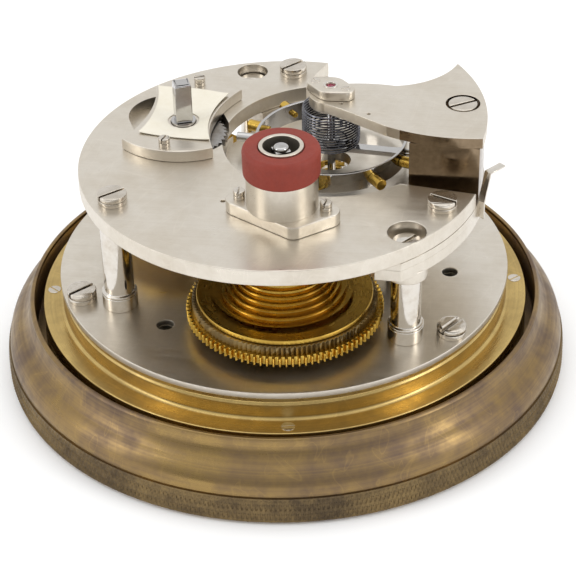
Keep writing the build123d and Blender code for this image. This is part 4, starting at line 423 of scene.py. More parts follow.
def effect(tree, name, **wires):
    """Place a shared effect and return its value."""
    node = put(tree, "ShaderNodeGroup", node_tree=EFFECTS[name])
    for key, value in wires.items():
        if isinstance(value, bpy.types.NodeSocket):
            tree.links.new(value, node.inputs[key])
        else:
            node.inputs[key].default_value = value
    return node.outputs[0]


# %% [markdown]
# A metal finish is then a short recipe: clean colour, dull colour, how rough each is, which way it was worked, and
# how much it is marked. The bump is kept small, because a worked surface scatters light more than it casts shadows.


# %% Metal recipe
def metal(name, clean, dull, rough, worked, patina=(40.0, 0.56, 0.14), marks=0.25, depth=1.0, axis=CENTRE, angle=0.0):
    """A metal: worked is 'grain', 'turning' or 'plain'; patina is scale, level and softness of the dull blotches."""
    material = bpy.data.materials.new(name)
    material.use_nodes = True
    tree = material.node_tree
    shader = tree.nodes["Principled BSDF"]
    place = put(tree, "ShaderNodeTexCoord").outputs["Object"]
    mask = effect(tree, "patina", Vector=place, Scale=patina[0], Level=patina[1], Softness=patina[2])
    lines = effect(tree, "scratches", Vector=place)
    if worked == "grain":
        texture = effect(tree, "grain", Vector=place, Angle=radians(angle))
    elif worked == "turning":
        texture = effect(tree, "turning", Vector=place, Axis=(axis[0] * MM, axis[1] * MM, 0))
    else:
        texture = noise(tree, place, 900.0, 3.0)
    share = math(tree, "ADD", math(tree, "MULTIPLY", mask, 0.85), spread(tree, texture, 0.35, 0.7, -0.1, 0.18), True)
    colour = mixed(tree, share, (*clean, 1), (*dull, 1))
    scratched = mixed(tree, math(tree, "MULTIPLY", lines, marks), colour, (*[min(1, c * 1.25) for c in clean], 1))
    tree.links.new(scratched, shader.inputs["Base Color"])
    base_rough = spread(tree, mask, 0.0, 1.0, rough[0], rough[1])
    varied = math(tree, "ADD", base_rough, spread(tree, texture, 0.3, 0.7, -0.05, 0.07), True)
    tree.links.new(varied, shader.inputs["Roughness"])
    shader.inputs["Metallic"].default_value = 1.0
    height = math(tree, "SUBTRACT", texture, math(tree, "MULTIPLY", lines, 0.5 * marks))
    bump = put(tree, "ShaderNodeBump", {"Height": height, "Strength": 0.35 * depth, "Distance": 0.00004})
    tree.links.new(bump.outputs[0], shader.inputs["Normal"])
    return material


def plain(name, colour, rough, bump=0.0, scale=700.0, second=None, metallic=0.0):
    """Paper, rubber, paint: a matt surface with soft mottling and a fine grain."""
    material = bpy.data.materials.new(name)
    material.use_nodes = True
    tree = material.node_tree
    shader = tree.nodes["Principled BSDF"]
    place = put(tree, "ShaderNodeTexCoord").outputs["Object"]
    mottle = effect(tree, "patina", Vector=place, Scale=110.0, Level=0.5, Softness=0.3)
    tree.links.new(mixed(tree, mottle, (*colour, 1), (*(second or colour), 1)), shader.inputs["Base Color"])
    grain = noise(tree, place, scale, 4.0, 0.6)
    tree.links.new(spread(tree, grain, 0.3, 0.7, rough - 0.06, rough + 0.06), shader.inputs["Roughness"])
    shader.inputs["Metallic"].default_value = metallic
    if bump:
        knob = put(tree, "ShaderNodeBump", {"Height": grain, "Strength": bump, "Distance": 0.0001})
        tree.links.new(knob.outputs[0], shader.inputs["Normal"])
    return material


def clear(name, colour, rough, index, alpha=1.0):
    """Glass or jewel."""
    material = bpy.data.materials.new(name)
    material.use_nodes = True
    shader = material.node_tree.nodes["Principled BSDF"]
    shader.inputs["Base Color"].default_value = (*colour, 1)
    shader.inputs["Roughness"].default_value = rough
    shader.inputs["IOR"].default_value = index
    shader.inputs["Transmission Weight"].default_value = alpha
    return material


# %% The finishes of this chronometer
SLOTS = {
    "aged_brass": lambda: metal(
        "aged_brass", (0.33, 0.22, 0.085), (0.15, 0.105, 0.08), (0.24, 0.46), "turning", (34.0, 0.5, 0.22), 0.3, 0.8
    ),
    "gilt_brass": lambda: metal(
        "gilt_brass", (0.63, 0.42, 0.085), (0.45, 0.27, 0.05), (0.22, 0.38), "turning", (90.0, 0.55, 0.2), 0.1, 0.5, FUSEE
    ),
    "nickel_plate": lambda: metal(
        "nickel_plate", (0.70, 0.65, 0.57), (0.58, 0.52, 0.43), (0.3, 0.42), "grain", (60.0, 0.56, 0.3), 0.15, 1.0, angle=8
    ),
    "bright_nickel": lambda: metal(
        "bright_nickel", (0.70, 0.66, 0.60), (0.58, 0.52, 0.44), (0.08, 0.2), "plain", (120.0, 0.6, 0.2), 0.15, 0.12
    ),
    "polished_steel": lambda: metal(
        "polished_steel", (0.52, 0.51, 0.50), (0.38, 0.36, 0.34), (0.07, 0.18), "plain", (150.0, 0.6, 0.2), 0.15, 0.12
    ),
    "grey_steel": lambda: metal(
        "grey_steel", (0.36, 0.35, 0.34), (0.22, 0.19, 0.16), (0.3, 0.45), "grain", (200.0, 0.55, 0.2), 0.2, 0.6
    ),
    "blued_steel": lambda: metal(
        "blued_steel", (0.17, 0.17, 0.19), (0.09, 0.09, 0.10), (0.16, 0.26), "plain", (200.0, 0.55, 0.2), 0.1, 0.2
    ),
    "screw_steel": lambda: metal(
        "screw_steel", (0.66, 0.61, 0.54), (0.48, 0.43, 0.36), (0.16, 0.3), "grain", (160.0, 0.55, 0.25), 0.3, 0.7, angle=35
    ),
    "rubber_red": lambda: plain("rubber_red", (0.25, 0.026, 0.01), 0.6, 0.3, 1500.0, (0.19, 0.02, 0.009)),
    "ruby": lambda: clear("ruby", (0.75, 0.05, 0.16), 0.03, 1.76, 0.8),
    "glass": lambda: clear("crystal_glass", (1.0, 1.0, 1.0), 0.0, 1.5),
    "dial_white": lambda: plain("dial_white", (0.80, 0.78, 0.72), 0.42, 0.05, 2500.0, (0.76, 0.74, 0.67)),
    "paper": lambda: plain("paper", (0.78, 0.74, 0.64), 0.85, 0.3, 2200.0, (0.72, 0.67, 0.55)),
    # Painted shade: this dark bronze colour on the cock's foot and on the arm's front wall stands for the reflection of
    # the shadow under the cock.
    "painted_shade_bronze": lambda: metal(
        "painted_shade_bronze", (0.27, 0.20, 0.13), (0.14, 0.10, 0.06), (0.1, 0.2), "plain", (70.0, 0.52, 0.3), 0.1, 0.1
    ),
    "knurled_brass": lambda: metal(
        "knurled_brass", (0.25, 0.175, 0.08), (0.11, 0.08, 0.05), (0.3, 0.48), "plain", (60.0, 0.48, 0.25), 0.1, 0.3
    ),
    "satin_brass": lambda: metal(
        "satin_brass", (0.60, 0.43, 0.16), (0.35, 0.25, 0.10), (0.24, 0.4), "turning", (45.0, 0.55, 0.25), 0.2, 0.8
    ),
    "polished_rim": lambda: metal(
        "polished_rim", (0.78, 0.76, 0.72), (0.66, 0.61, 0.54), (0.14, 0.26), "turning", (50.0, 0.6, 0.2), 0.3, 0.5
    ),
    "ratchet_bronze": lambda: metal(
        "ratchet_bronze", (0.30, 0.22, 0.10), (0.12, 0.085, 0.045), (0.3, 0.45), "turning", (90.0, 0.5, 0.2), 0.1, 0.5, FUSEE
    ),
    "ink_black": lambda: plain("ink_black", (0.03, 0.03, 0.035), 0.5),
}
RECORD_SLOTS = {entry["slot"] for entry in record["materials"]}
finished = {}
made = []


def finish(slot):
    """The material of a slot, made once."""
    if slot not in finished:
        finished[slot] = SLOTS[slot]()
    return finished[slot]


def piece(name, mesh, slot, body=FRAME_BODY, replaces=(), smooth=32):
    """Put a finished mesh into the scene: smooth over gentle angles, riding on its body, in its material slot."""
    item = bpy.data.objects.new(name, mesh)
    bpy.context.scene.collection.objects.link(item)
    mesh.shade_smooth()
    mesh.set_sharp_from_angle(angle=radians(smooth))
    mesh.materials.append(finish(slot))
    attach(item, body)
    if replaces:
        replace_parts(item, *replaces)
    item.modifiers.new("flats", "WEIGHTED_NORMAL").keep_sharp = True
    made.append(item)
    return item


def second_finish(item, slot, choose):
    """Give another finish to the faces that choose picks from all faces' normals and centres (in millimetres)."""
    mesh = item.data
    normal, centre = (np.empty(3 * len(mesh.polygons)) for _ in range(2))
    mesh.polygons.foreach_get("normal", normal)
    mesh.polygons.foreach_get("center", centre)
    mesh.materials.append(finish(slot))
    picked = choose(normal.reshape(-1, 3), centre.reshape(-1, 3) / MM).astype(np.int32)
    mesh.polygons.foreach_set("material_index", picked * (len(mesh.materials) - 1))
    print(item.name, int(picked.sum()), "faces in", slot)


# %% [markdown]
# ## Bezel
#
# The bezel is turned from one ring of brass: a knurled band at the foot for the fingers, an ogee above it, a thin lip,
# and inside it the thread that takes the bowl. A lathe makes it here too. The knurl is a formula on the band alone:
# two families of slanting grooves cross, and the height at a point is the lower of two triangle waves.

# %% Bezel
BEZEL_RADIUS = 65.0
BEZEL_HIGH = high("bezel")
BAND = (0.8, 7.1)
LIP_RADIUS = 58.9
THREAD_RADIUS = 57.8
LEDGE = 9.5
SHOULDER_RADIUS = BEZEL_RADIUS - 0.7
KNURLS = 400
KNURL_ROWS = 5
KNURL_DEPTH = 0.5
waist = (61.2, 13.2)
ogee = np.concatenate([
    arc_through((SHOULDER_RADIUS, BAND[1]), (63.6, 10.6), waist, 20),
    arc_through(waist, (59.6, 15.2), (LIP_RADIUS, BEZEL_HIGH - 0.5), 20)[1:],
])
thread_heights = np.arange(LEDGE + 1.0, BEZEL_HIGH - 0.8, 0.375)
thread = np.stack([THREAD_RADIUS + 0.28 * (np.arange(len(thread_heights)) % 2), thread_heights], 1)[::-1]
bezel_profile = np.concatenate([
    ogee,
    rounded([(LIP_RADIUS, BEZEL_HIGH - 0.4), (LIP_RADIUS - 0.3, BEZEL_HIGH), (THREAD_RADIUS, BEZEL_HIGH),
             (THREAD_RADIUS, BEZEL_HIGH - 0.8)], 0.25, False),
    thread,
    [(THREAD_RADIUS, LEDGE), (52.9, LEDGE), (52.9, 4.2), (49.5, 4.2), (49.5, 3.4), (52.0, 0.0)],
    [(63.7, 0.0), (64.3, 0.5)],
    [(64.3, BAND[0] + 0.2), (64.3, BAND[1] - 0.15)],
])
piece("bezel_ring", lathe_mesh("bezel_ring", bezel_profile, steps=256), "aged_brass", replaces=["bezel"])


def triangle_wave(phase):
    """A wave that rises from 0 to 1 and falls back in one unit of phase."""
    return 1 - np.abs(2 * (phase % 1) - 1)


def knurled_band(steps_each=5, rows=26):
    """A closed band: outside, the radius falls by the depth times one less the lower of two crossed waves."""
    across = np.linspace(0, 1, rows)
    turn = np.arange(KNURLS * steps_each) / (KNURLS * steps_each)
    u = turn[None, :] * KNURLS
    v = across[:, None] * KNURL_ROWS
    relief = np.minimum(triangle_wave(u + v / 2), triangle_wave(u - v / 2))
    ends = np.clip(np.minimum(across, 1 - across) * 14, 0, 1)[:, None]
    radius = BEZEL_RADIUS - 0.35 * (1 - ends) - KNURL_DEPTH * (1 - relief) * ends
    height = BAND[0] + across[:, None] * (BAND[1] - BAND[0]) + 0 * u
    inner_radius = np.full((2, u.shape[1]), 64.0)
    inner_height = np.stack([height[-1], height[0]])
    radius, height = np.concatenate([radius, inner_radius]), np.concatenate([height, inner_height])
    angle = 2 * pi * turn[None, :]
    points = np.stack([radius * np.cos(angle), radius * np.sin(angle), height], -1)
    return mesh_from("bezel_knurl", points.reshape(-1, 3), grid_faces(len(radius), u.shape[1], True))


piece("bezel_knurl", knurled_band(), "knurled_brass", smooth=60)
print("bezel", len(made[-1].data.polygons), "faces in the knurl")

# %% [markdown]
# ## Seating ring, crystal, sight ring
#
# The movement's own brass ring stands in the bezel with a gap round it. Its flange is dull and speckled where it was
# never polished, and its wall is satin; here the whole ring takes one satin brass finish, without the specks. The glass
# and the rings under it show only from below.

# %% Rings under the movement
WALL_RADIUS = 50.9
FLANGE_RADIUS = 55.8
SIGHT_THROAT = 47.6
seat_profile = np.concatenate([
    [(46.5, PLATE_SEAT), (46.5, 16.7), (48.6, 16.7), (48.6, FLANGE_LOW)],
    rounded([(50, FLANGE_LOW), (FLANGE_RADIUS, FLANGE_LOW), (FLANGE_RADIUS, FLANGE_TOP), (WALL_RADIUS, FLANGE_TOP)],
            0.35, False),
    arc_through((WALL_RADIUS + 0.9, FLANGE_TOP), (WALL_RADIUS + 0.27, FLANGE_TOP + 0.27), (WALL_RADIUS, FLANGE_TOP + 0.9), 8),
    rounded([(WALL_RADIUS, PLATE_SEAT - 2.2), (WALL_RADIUS, PLATE_SEAT - 1.9), (WALL_RADIUS - 0.3, PLATE_SEAT - 1.4),
             (WALL_RADIUS - 0.3, PLATE_SEAT)], 0.2, False),
])
piece("seating_ring_body", lathe_mesh("seating_ring_body", seat_profile, steps=256), "satin_brass",
      replaces=["seating_ring"])
sight_profile = rounded(
    [(53.4, LEDGE), (FLANGE_RADIUS, LEDGE), (FLANGE_RADIUS, FLANGE_LOW), (48.5, FLANGE_LOW), (48.5, 15.7),
     (SIGHT_THROAT, 15.7), (SIGHT_THROAT, 12.8)], 0.12)
piece("sight_ring_body", lathe_mesh("sight_ring_body", sight_profile, steps=192), "satin_brass", replaces=["sight_ring"])
glass_profile = rounded([(0, 4.2), (52.8, 4.2), (52.8, 6.7), (0, 6.7)], 0.3, False)
piece("crystal_disc", lathe_mesh("crystal_disc", glass_profile, steps=192, closed=False), "glass", replaces=["crystal"])
ring_profile = rounded([(50.2, 6.7), (52.8, 6.7), (52.8, 9.0), (50.2, 9.0)], 0.2)
piece("crystal_ring_body", lathe_mesh("crystal_ring_body", ring_profile, steps=192), "aged_brass",
      replaces=["crystal_ring"])

# %% [markdown]
# ## Plates
#
# Plates are flat sheet with rounded edges. Their outlines are arcs and a few straight cuts. The top plate is a disc
# from which the balance's opening and the place of the cock have been cut away.

# %% Pillar plate
PLATE_RADIUS = 51.33
PLATE_HOLES = [circle((-26.5, -25.2), 1.9, 40), circle((37.7, -7.3), 1.75, 40)]
SMALL_BORES = [circle(CENTRE, 1.05, 24), circle(FUSEE, 2.5, 32), circle(BARREL, 2.85, 32)]
plate = plate_mesh("plate", circle(CENTRE, PLATE_RADIUS, 256), PLATE_HOLES + SMALL_BORES, PLATE_SEAT, PLATE_TOP, 0.2)
spigot = plate_mesh("spigot", circle(CENTRE, 46.3, 192), PLATE_HOLES, low("pillar_plate") + 3.3, PLATE_SEAT, 0.1)
piece("pillar_plate_body", joined("pillar_plate_body", plate, spigot), "nickel_plate", replaces=["pillar_plate"])

# %% Top plate
TOP_RADIUS = 45.34
OPENING_RADIUS = 24.6
CUT_FRONT = (25.8, -12.1)
CUT_FRONT_OUT = polar(TOP_RADIUS, -22.35)
CUT_REAR = [(8.9, 38.4), (7.1, 34.0)]
CUT_REAR_OUT = (11.9, 43.75)
front_angle = bearing(BALANCE, CUT_FRONT)
rear_angle = 102.0
top_outline = np.concatenate([
    arc(BALANCE, OPENING_RADIUS, rear_angle, 360 + front_angle, 96),
    [CUT_FRONT_OUT],
    arc(CENTRE, TOP_RADIUS, -22.35, bearing(CENTRE, CUT_REAR_OUT) - 360, 200),
    CUT_REAR,
])
SCREW_A, SCREW_B, SCREW_C = polar(40.3, -155.8), (3.4, 39.3), (34.2, -22.1)
FRONT_PILLAR, REAR_PILLAR = polar(41.0, -50.5), polar(40.8, 98.9)
CLICK_PIVOT = joint_place("setup_click_swing")
SINK_FLOOR = TOP_FACE - 2.4
through_holes = [circle(FRONT_PILLAR, 4.1), circle(REAR_PILLAR, 3.55), circle((-12.85, -17.5), 0.5, 24),
                 circle(FUSEE, 2.5, 32), circle(BARREL, 2.85, 32)]
sink = wrapped((BARREL, 10.7), ((-25.9, 20.5), 9.1), (CLICK_PIVOT, 3.0))

# %% Train bridge
LUG_UNDER = low("train_bridge")
balance_sink_floor = TOP_UNDER - 1.9
fusee_left, fusee_right = polar(13.0, 108, FUSEE), polar(13.0, 0, FUSEE)
bite = polar(TOP_RADIUS, 30)
bridge_outline = np.concatenate([
    arc(CENTRE, TOP_RADIUS, -57.4, 30, 80),
    arc_through(bite, (27.5, 31.0), (12.6, 36.6), 24)[1:],
    arc(CENTRE, TOP_RADIUS, 74.5, 112, 32),
    [(-9.0, 33.0), (-3.5, 25.5), (-13.5, 13.5), (-15.5, 4.0)],
    arc_through(fusee_left, polar(13.0, 54, FUSEE), fusee_right, 32),
    [(19.0, -37.0)],
])
sunk = arc(BALANCE, 24.0, 0, 360, 160)[:-1]
inside_bridge = sunk[np.hypot(sunk[:, 0], sunk[:, 1]) < TOP_RADIUS - 0.01]
bridge_lower = plate_mesh(
    "bridge_lower", bridge_outline, [circle(BALANCE, 4.4, 48)], BRIDGE_UNDER, balance_sink_floor, 0.1
)
piece("train_bridge_body", bridge_lower, "nickel_plate")

# %% [markdown]
# Near the balance the bridge is sunk. The raised part is what is left of its outline outside the balance's circle.
# A Boolean modifier cuts it with a drum, and the result is kept as a plain mesh.


# %% Cutting
def cut(mesh, tool, operation="DIFFERENCE"):
    """One mesh cut by another, worked out by a modifier and kept as a plain mesh."""
    body, drum = (bpy.data.objects.new("cut_" + str(k), m) for k, m in enumerate((mesh, tool)))
    for item in (body, drum):
        bpy.context.scene.collection.objects.link(item)
    modifier = body.modifiers.new("cut", "BOOLEAN")
    modifier.operation = operation
    modifier.solver = "EXACT"
    modifier.object = drum
    result = bpy.data.meshes.new_from_object(body.evaluated_get(bpy.context.evaluated_depsgraph_get()))
    for item in (body, drum):
        bpy.data.objects.remove(item)
    result.materials.clear()
    return tidied(result)


drum = lathe_mesh(
    "drum", [(0, balance_sink_floor - 1), (24.0, balance_sink_floor - 1), (24.0, TOP_UNDER + 5), (0, TOP_UNDER + 5)],
    BALANCE, 160, False,
)
raised = cut(plate_mesh("raised", bridge_outline, [], balance_sink_floor - 0.02, TOP_UNDER - 0.01, 0.1), drum)
lugs = [
    lathe_mesh("lug", rounded([(0, LUG_UNDER), (4.5, LUG_UNDER), (4.5, BRIDGE_UNDER + 0.5), (0, BRIDGE_UNDER + 0.5)],
                              0.2, False), place, 64, False)
    for place in (FRONT_PILLAR, REAR_PILLAR)
]
sink_tool = plate_mesh("sink", sink, [], SINK_FLOOR, TOP_FACE + 1, 0.01)
top_mesh = cut(plate_mesh("top_plate_body", top_outline, through_holes, TOP_UNDER, TOP_FACE, 0.28), sink_tool)
piece("top_plate_body", top_mesh, "nickel_plate", replaces=["top_plate"])
print("top plate", len(made[-1].data.polygons), "faces")
piece("train_bridge_raised", joined("train_bridge_raised", raised, *lugs), "nickel_plate", replaces=["train_bridge"])

# %% [markdown]
# ## Balance cock
#
# The cock is a thick brushed arm whose narrow end holds the balance's upper jewel. Its foot stands in the place cut
# out of the top plate, and the foot's inner wall follows the balance's opening.

# %% Cock
COCK_RADIUS = 45.5
COCK_SCREW = (40.4, 1.9)
outer_rear, outer_front = polar(COCK_RADIUS, 26.4), polar(COCK_RADIUS, -17.6)
nose_left, nose_right = (9.6, 3.4), (15.0, 12.2)
nose_start, nose_end = bearing(BALANCE, nose_left), bearing(BALANCE, nose_right)
cock_outline = np.concatenate([
    arc_through(nose_right, (20.5, 11.9), (26.0, 10.6), 20),
    arc_through((26.0, 10.6), (34.0, 12.9), outer_rear, 24)[1:],
    arc_through(outer_rear, polar(COCK_RADIUS, 4), outer_front, 60)[1:],
    arc_through(outer_front, (32.5, -12.0), (22.6, -7.1), 24)[1:],
    [(13.3, 0.8), nose_left],
    arc(BALANCE, 4.9, nose_start + 8, nose_end - 360 - 8, 40),
])
FOOT_START = 26.0  # the front wall over the foot gets painted shade, like the foot: a dark bronze that stands for the reflection of the shadow under the cock
cock_arm = plate_mesh("cock_arm", cock_outline, [circle(COCK_SCREW, 3.8), circle(BALANCE, 1.1, 40),
                                                 circle((13.6, 3.2), 0.4, 20), circle((19.4, -1.7), 0.4, 20)],
                      COCK_UNDER, COCK_TOP, 0.12)
foot_outline = np.concatenate([
    [polar(COCK_RADIUS - 0.5, -18), (27.0, -10.3)],
    [(12.0, -1.0), (20.0, 11.0)],
    [(34.0, 12.9)],
    arc_through(polar(COCK_RADIUS - 0.5, 26.4), polar(COCK_RADIUS - 0.5, 4), polar(COCK_RADIUS - 0.5, -18), 60)[:-1],
])
opening_drum = lathe_mesh("opening", [(0, 30), (OPENING_RADIUS, 30), (OPENING_RADIUS, 80), (0, 80)], BALANCE, 160, False)
cock_foot = cut(plate_mesh("cock_foot", foot_outline, [], TOP_UNDER, COCK_UNDER + 0.01, 0.08), opening_drum)
arm_piece = piece("balance_cock_arm", cock_arm, "nickel_plate", replaces=["balance_cock"])
# Painted shade: the arm's forward faces over the foot, and the whole foot, are coloured dark bronze as the reflection
# of the shadow under the cock.
second_finish(arm_piece, "painted_shade_bronze", lambda normal, centre: (normal[:, 1] < -0.5) & (centre[:, 0] > FOOT_START))
piece("balance_cock_foot", cock_foot, "painted_shade_bronze")

# %% Jewel cap and jewel
CAP_TOP = COCK_TOP + 2.2
CAP_ENDS = [polar(3.85, -31.0 + half, BALANCE) for half in (0, 180)]
cap_outline = wrapped((BALANCE, 3.7), (CAP_ENDS[0], 2.0), (CAP_ENDS[1], 2.0))
piece("jewel_cap_body", plate_mesh("jewel_cap_body", cap_outline, [circle(BALANCE, 1.12, 32)], COCK_TOP, CAP_TOP, 0.3),
      "nickel_plate", replaces=["jewel_cap"])
jewel_seat = rounded([(1.12, CAP_TOP - 0.1), (1.7, CAP_TOP - 0.1), (1.7, CAP_TOP + 0.12), (1.12, CAP_TOP + 0.02)], 0.1)
piece("jewel_setting", lathe_mesh("jewel_setting", jewel_seat, BALANCE, 48), "bright_nickel")

# %% [markdown]
# ## Winding hub and its seal
#
# The hub is a turned tube on a lobed flange. The red seal keeps dust out of the bowl's key hole: soft rubber with
# rounded edges, a little worn on top. The arbor's end is a polished dome deep inside.

# %% Hub
HUB_SCREWS = [(-9.2, -21.2), (9.2, -26.8)]
HUB_FLANGE_TOP = TOP_FACE + 3.0
HUB_SHOULDER = HUB_FLANGE_TOP + 7.74
HUB_TOP = high("winding_hub")
hub_outline = wrapped((HUB_SCREWS[0], 3.0), (HUB_SCREWS[1], 3.0), ((2.2, -31.2), 2.6), ((-2.2, -16.8), 2.6))
hub_flange = plate_mesh("hub_flange", hub_outline, [circle(FUSEE, 3.9, 64)], TOP_FACE, HUB_FLANGE_TOP, 0.35)
hub_profile = rounded([
    (3.9, TOP_FACE), (3.9, HUB_TOP), (4.8, HUB_TOP), (4.8, HUB_SHOULDER), (7.7, HUB_SHOULDER),
    (7.7, HUB_FLANGE_TOP - 0.1), (6.0, HUB_FLANGE_TOP - 0.1), (6.0, TOP_FACE)], 0.22)
piece("winding_hub_body", joined("winding_hub_body", hub_flange, lathe_mesh("hub_tube", hub_profile, FUSEE, 128)),
      "nickel_plate", replaces=["winding_hub"])
seal_profile = rounded([
    (4.86, HUB_SHOULDER + 0.02), (8.25, HUB_SHOULDER + 0.02), (8.35, HUB_SHOULDER + 5.6), (7.9, HUB_SHOULDER + 6.45),
    (4.86, HUB_SHOULDER + 6.5)], 0.55, steps=8)
piece("hub_seal", lathe_mesh("hub_seal", seal_profile, FUSEE, 128), "rubber_red", replaces=["hub_gasket"])

# %% Fusee arbor's end and square
ARBOR_TOP = high("fusee_arbor")
square_low = HUB_TOP - 12.2
arbor_profile = np.concatenate([
    [(0, low("fusee_arbor")), (0.9, low("fusee_arbor")), (0.9, 20.4), (2.45, 20.4), (2.45, PLATE_TOP + 0.1),
     (2.8, PLATE_TOP + 0.1), (2.8, TOP_UNDER - 0.1), (2.45, TOP_UNDER - 0.1), (2.45, square_low), (1.7, square_low + 0.3)],
    rounded([(1.7, square_low + 0.3), (1.7, ARBOR_TOP), (0, ARBOR_TOP)], 0.8, False, 8),
])
piece("fusee_arbor_core", lathe_mesh("fusee_arbor_core", arbor_profile, FUSEE, 64, False), "polished_steel", "fusee")


def square_outline(place, side, turn, corner=0.3):
    """A square with rounded corners, turned about its centre."""
    corners = [polar(side / sqrt(2), turn + 45 + 90 * k, place) for k in range(4)]
    return rounded(corners, corner, steps=5)


square_mesh = plate_mesh("fusee_square", square_outline(FUSEE, 3.4, 20), [], square_low, HUB_TOP - 1.0, 0.2)
piece("fusee_square", square_mesh, "polished_steel", "fusee", ["fusee_arbor"])

# %% [markdown]
# ## Screws
#
# Every screw is a head with a slot, a rounded rim and a shank. The slot's sides must be sharp and its floor flat,
# so the head is a low disc with two half-moons on it. Each half-moon is the part of a circle beyond the slot's edge.


# %% Screw builder
def half_moon(place, radius, gap, turn, steps=36):
    """The part of a circle beyond a line at a given distance from its centre, on one side."""
    start = degrees(np.arcsin(gap / radius))
    return arc(place, radius, turn + start, turn + 180 - start, steps)


def screw_mesh(place, seat, radius, height, shank, reach, turn, upward=1, edge=0.2, slot=0.2):
    """A slotted screw: its head stands on seat, and its shank reaches the other way."""
    depth = 0.55 * height
    top = seat + upward * height
    floor = top - upward * depth
    width = slot * radius
    base = [(0, seat - upward * reach), (shank, seat - upward * reach), (shank, seat), (radius, seat), (radius, floor),
            (0, floor)]
    parts = [lathe_mesh("head", rounded(base, 0.06, False, 2), place, 48, False)]
    for side in (0, 180):
        moon = half_moon(place, radius, 0.5 * width, turn + side)
        parts.append(plate_mesh("moon", moon, [], min(floor, top), max(floor, top), edge))
    return joined("screw", *parts)


def add_screws(name, places, slot, replaces=(), body=FRAME_BODY):
    """Several screws as one piece. Each place is a dictionary of what screw_mesh needs."""
    meshes = [screw_mesh(**place) for place in places]
    return piece(name, joined(name, *meshes), slot, body, replaces)


# %% All the screws that show
RAISED = {"radius": 3.2, "height": 2.2, "shank": 1.5, "reach": 8.0}
PLATE_KIND = {"radius": 3.25, "height": 2.5, "shank": 1.0, "reach": 6.0}
SUNK = {"radius": 3.15, "height": 1.6, "shank": 1.5, "reach": 11.0}
SMALL = {"radius": 1.3, "height": 2.0, "shank": 0.7, "reach": 5.0}
CAP_KIND = {"radius": 1.1, "height": 0.9, "shank": 0.45, "reach": 2.6}
FLANGE_KIND = {"radius": 1.5, "height": 0.9, "shank": 0.7, "reach": 5.0}
FRAME_KIND = {"radius": 2.6, "height": 1.4, "shank": 1.5, "reach": 7.0}
add_screws("top_screws", [
    {"place": SCREW_A, "seat": TOP_FACE, "turn": 33, **RAISED},
    {"place": SCREW_B, "seat": TOP_FACE, "turn": 38, **RAISED},
    {"place": SCREW_C, "seat": TOP_FACE, "turn": -32, **RAISED},
], "screw_steel", ["top_plate_screws"])
add_screws("plate_screws", [
    {"place": polar(47.6, -162.8), "seat": PLATE_TOP, "turn": 38, **PLATE_KIND},
    {"place": polar(47.6, -40.5), "seat": PLATE_TOP, "turn": 48, "edge": 0.7, **PLATE_KIND},
    {"place": polar(47.6, 78.3), "seat": PLATE_TOP, "turn": 60, **PLATE_KIND},
], "screw_steel", ["pillar_plate_screws"])
add_screws("sunk_screws", [
    {"place": FRONT_PILLAR, "seat": TOP_UNDER, "turn": 44, **SUNK},
    {"place": REAR_PILLAR, "seat": TOP_UNDER, "turn": -12, **SUNK},
], "bright_nickel", ["bridge_pillar_screws"])
BARREL_BRIDGE_TOP = high("barrel_bridge")
add_screws("small_screws", [
    {"place": HUB_SCREWS[0], "seat": HUB_FLANGE_TOP, "turn": 80, **SMALL},
    {"place": HUB_SCREWS[1], "seat": HUB_FLANGE_TOP, "turn": 70, **SMALL},
    {"place": (-26.0, 2.0), "seat": BARREL_BRIDGE_TOP, "turn": 62, **SMALL},
    {"place": (-18.6, 29.6), "seat": BARREL_BRIDGE_TOP, "turn": 10, **SMALL},
], "screw_steel", ["small_raised_screws"])
add_screws("cock_and_cap_screws", [
    {"place": COCK_SCREW, "seat": COCK_UNDER, "radius": 3.25, "height": 2.5, "shank": 1.5, "reach": 17.0, "turn": 24,
     "edge": 0.25},
    {"place": CAP_ENDS[0], "seat": CAP_TOP - 0.82, "turn": 25, "edge": 0.1, "slot": 0.3, **CAP_KIND},
    {"place": CAP_ENDS[1], "seat": CAP_TOP - 0.82, "turn": -45, "edge": 0.1, "slot": 0.3, **CAP_KIND},
], "screw_steel", ["cock_screws"])
add_screws("flange_screws", [
    {"place": polar(53.4, 90 * k), "seat": FLANGE_TOP - 0.8, "turn": 35 + 50 * k, "edge": 0.08, **FLANGE_KIND}
    for k in range(4)
], "screw_steel", ["seating_ring_screws"])

# %% [markdown]
# ## Pillars
#
# Three polished pillars part the plates. They are turned with a collar at the foot, and they are bright enough to
# mirror the gilt wheels beside them.

# %% Pillars
pillars = []
for place, top in ((SCREW_A, TOP_UNDER), (FRONT_PILLAR, LUG_UNDER), (REAR_PILLAR, LUG_UNDER)):
    foot = PLATE_TOP
    profile = np.concatenate([
        rounded([(0, foot), (3.95, foot), (3.95, foot + 3.3), (3.55, foot + 3.4)], 0.15, False),
        rounded([(3.55, foot + 3.4), (3.95, foot + 3.55), (3.95, foot + 3.95), (3.35, foot + 4.1), (3.35, top - 0.5)],
                0.14, False)[1:],
        [(3.35, top), (0, top)],
    ])
    pillars.append(lathe_mesh("pillar", profile, place, 96, False))
piece("pillar_set", joined("pillar_set", *pillars), "bright_nickel", replaces=["pillars"])

# %% [markdown]
# ## Fusee and great wheel
#
# The fusee is a cone with one long groove for the chain. It evens out the mainspring's pull: the chain draws at a
# small radius while the spring is strong. Its surface is one grid: one direction runs eight turns round the cone,
# the other crosses one turn of the groove, and the radius is the cone's radius there less the groove's depth.

# %% Fusee
FUSEE_TURNS = 8
CHAIN_PITCH = 1.15
GROOVE_DEPTH = 0.8
brim_top = low("fusee_cone") + 1.1
cone_top = high("fusee_cone") - 1.4
BRIM_RADIUS = 19.4


def cone_radius(turn):
    """The radius of the groove's lip after so many turns from the base."""
    return 17.2 / np.sqrt(1 + 0.3 * np.clip(turn, 0, FUSEE_TURNS - 1))


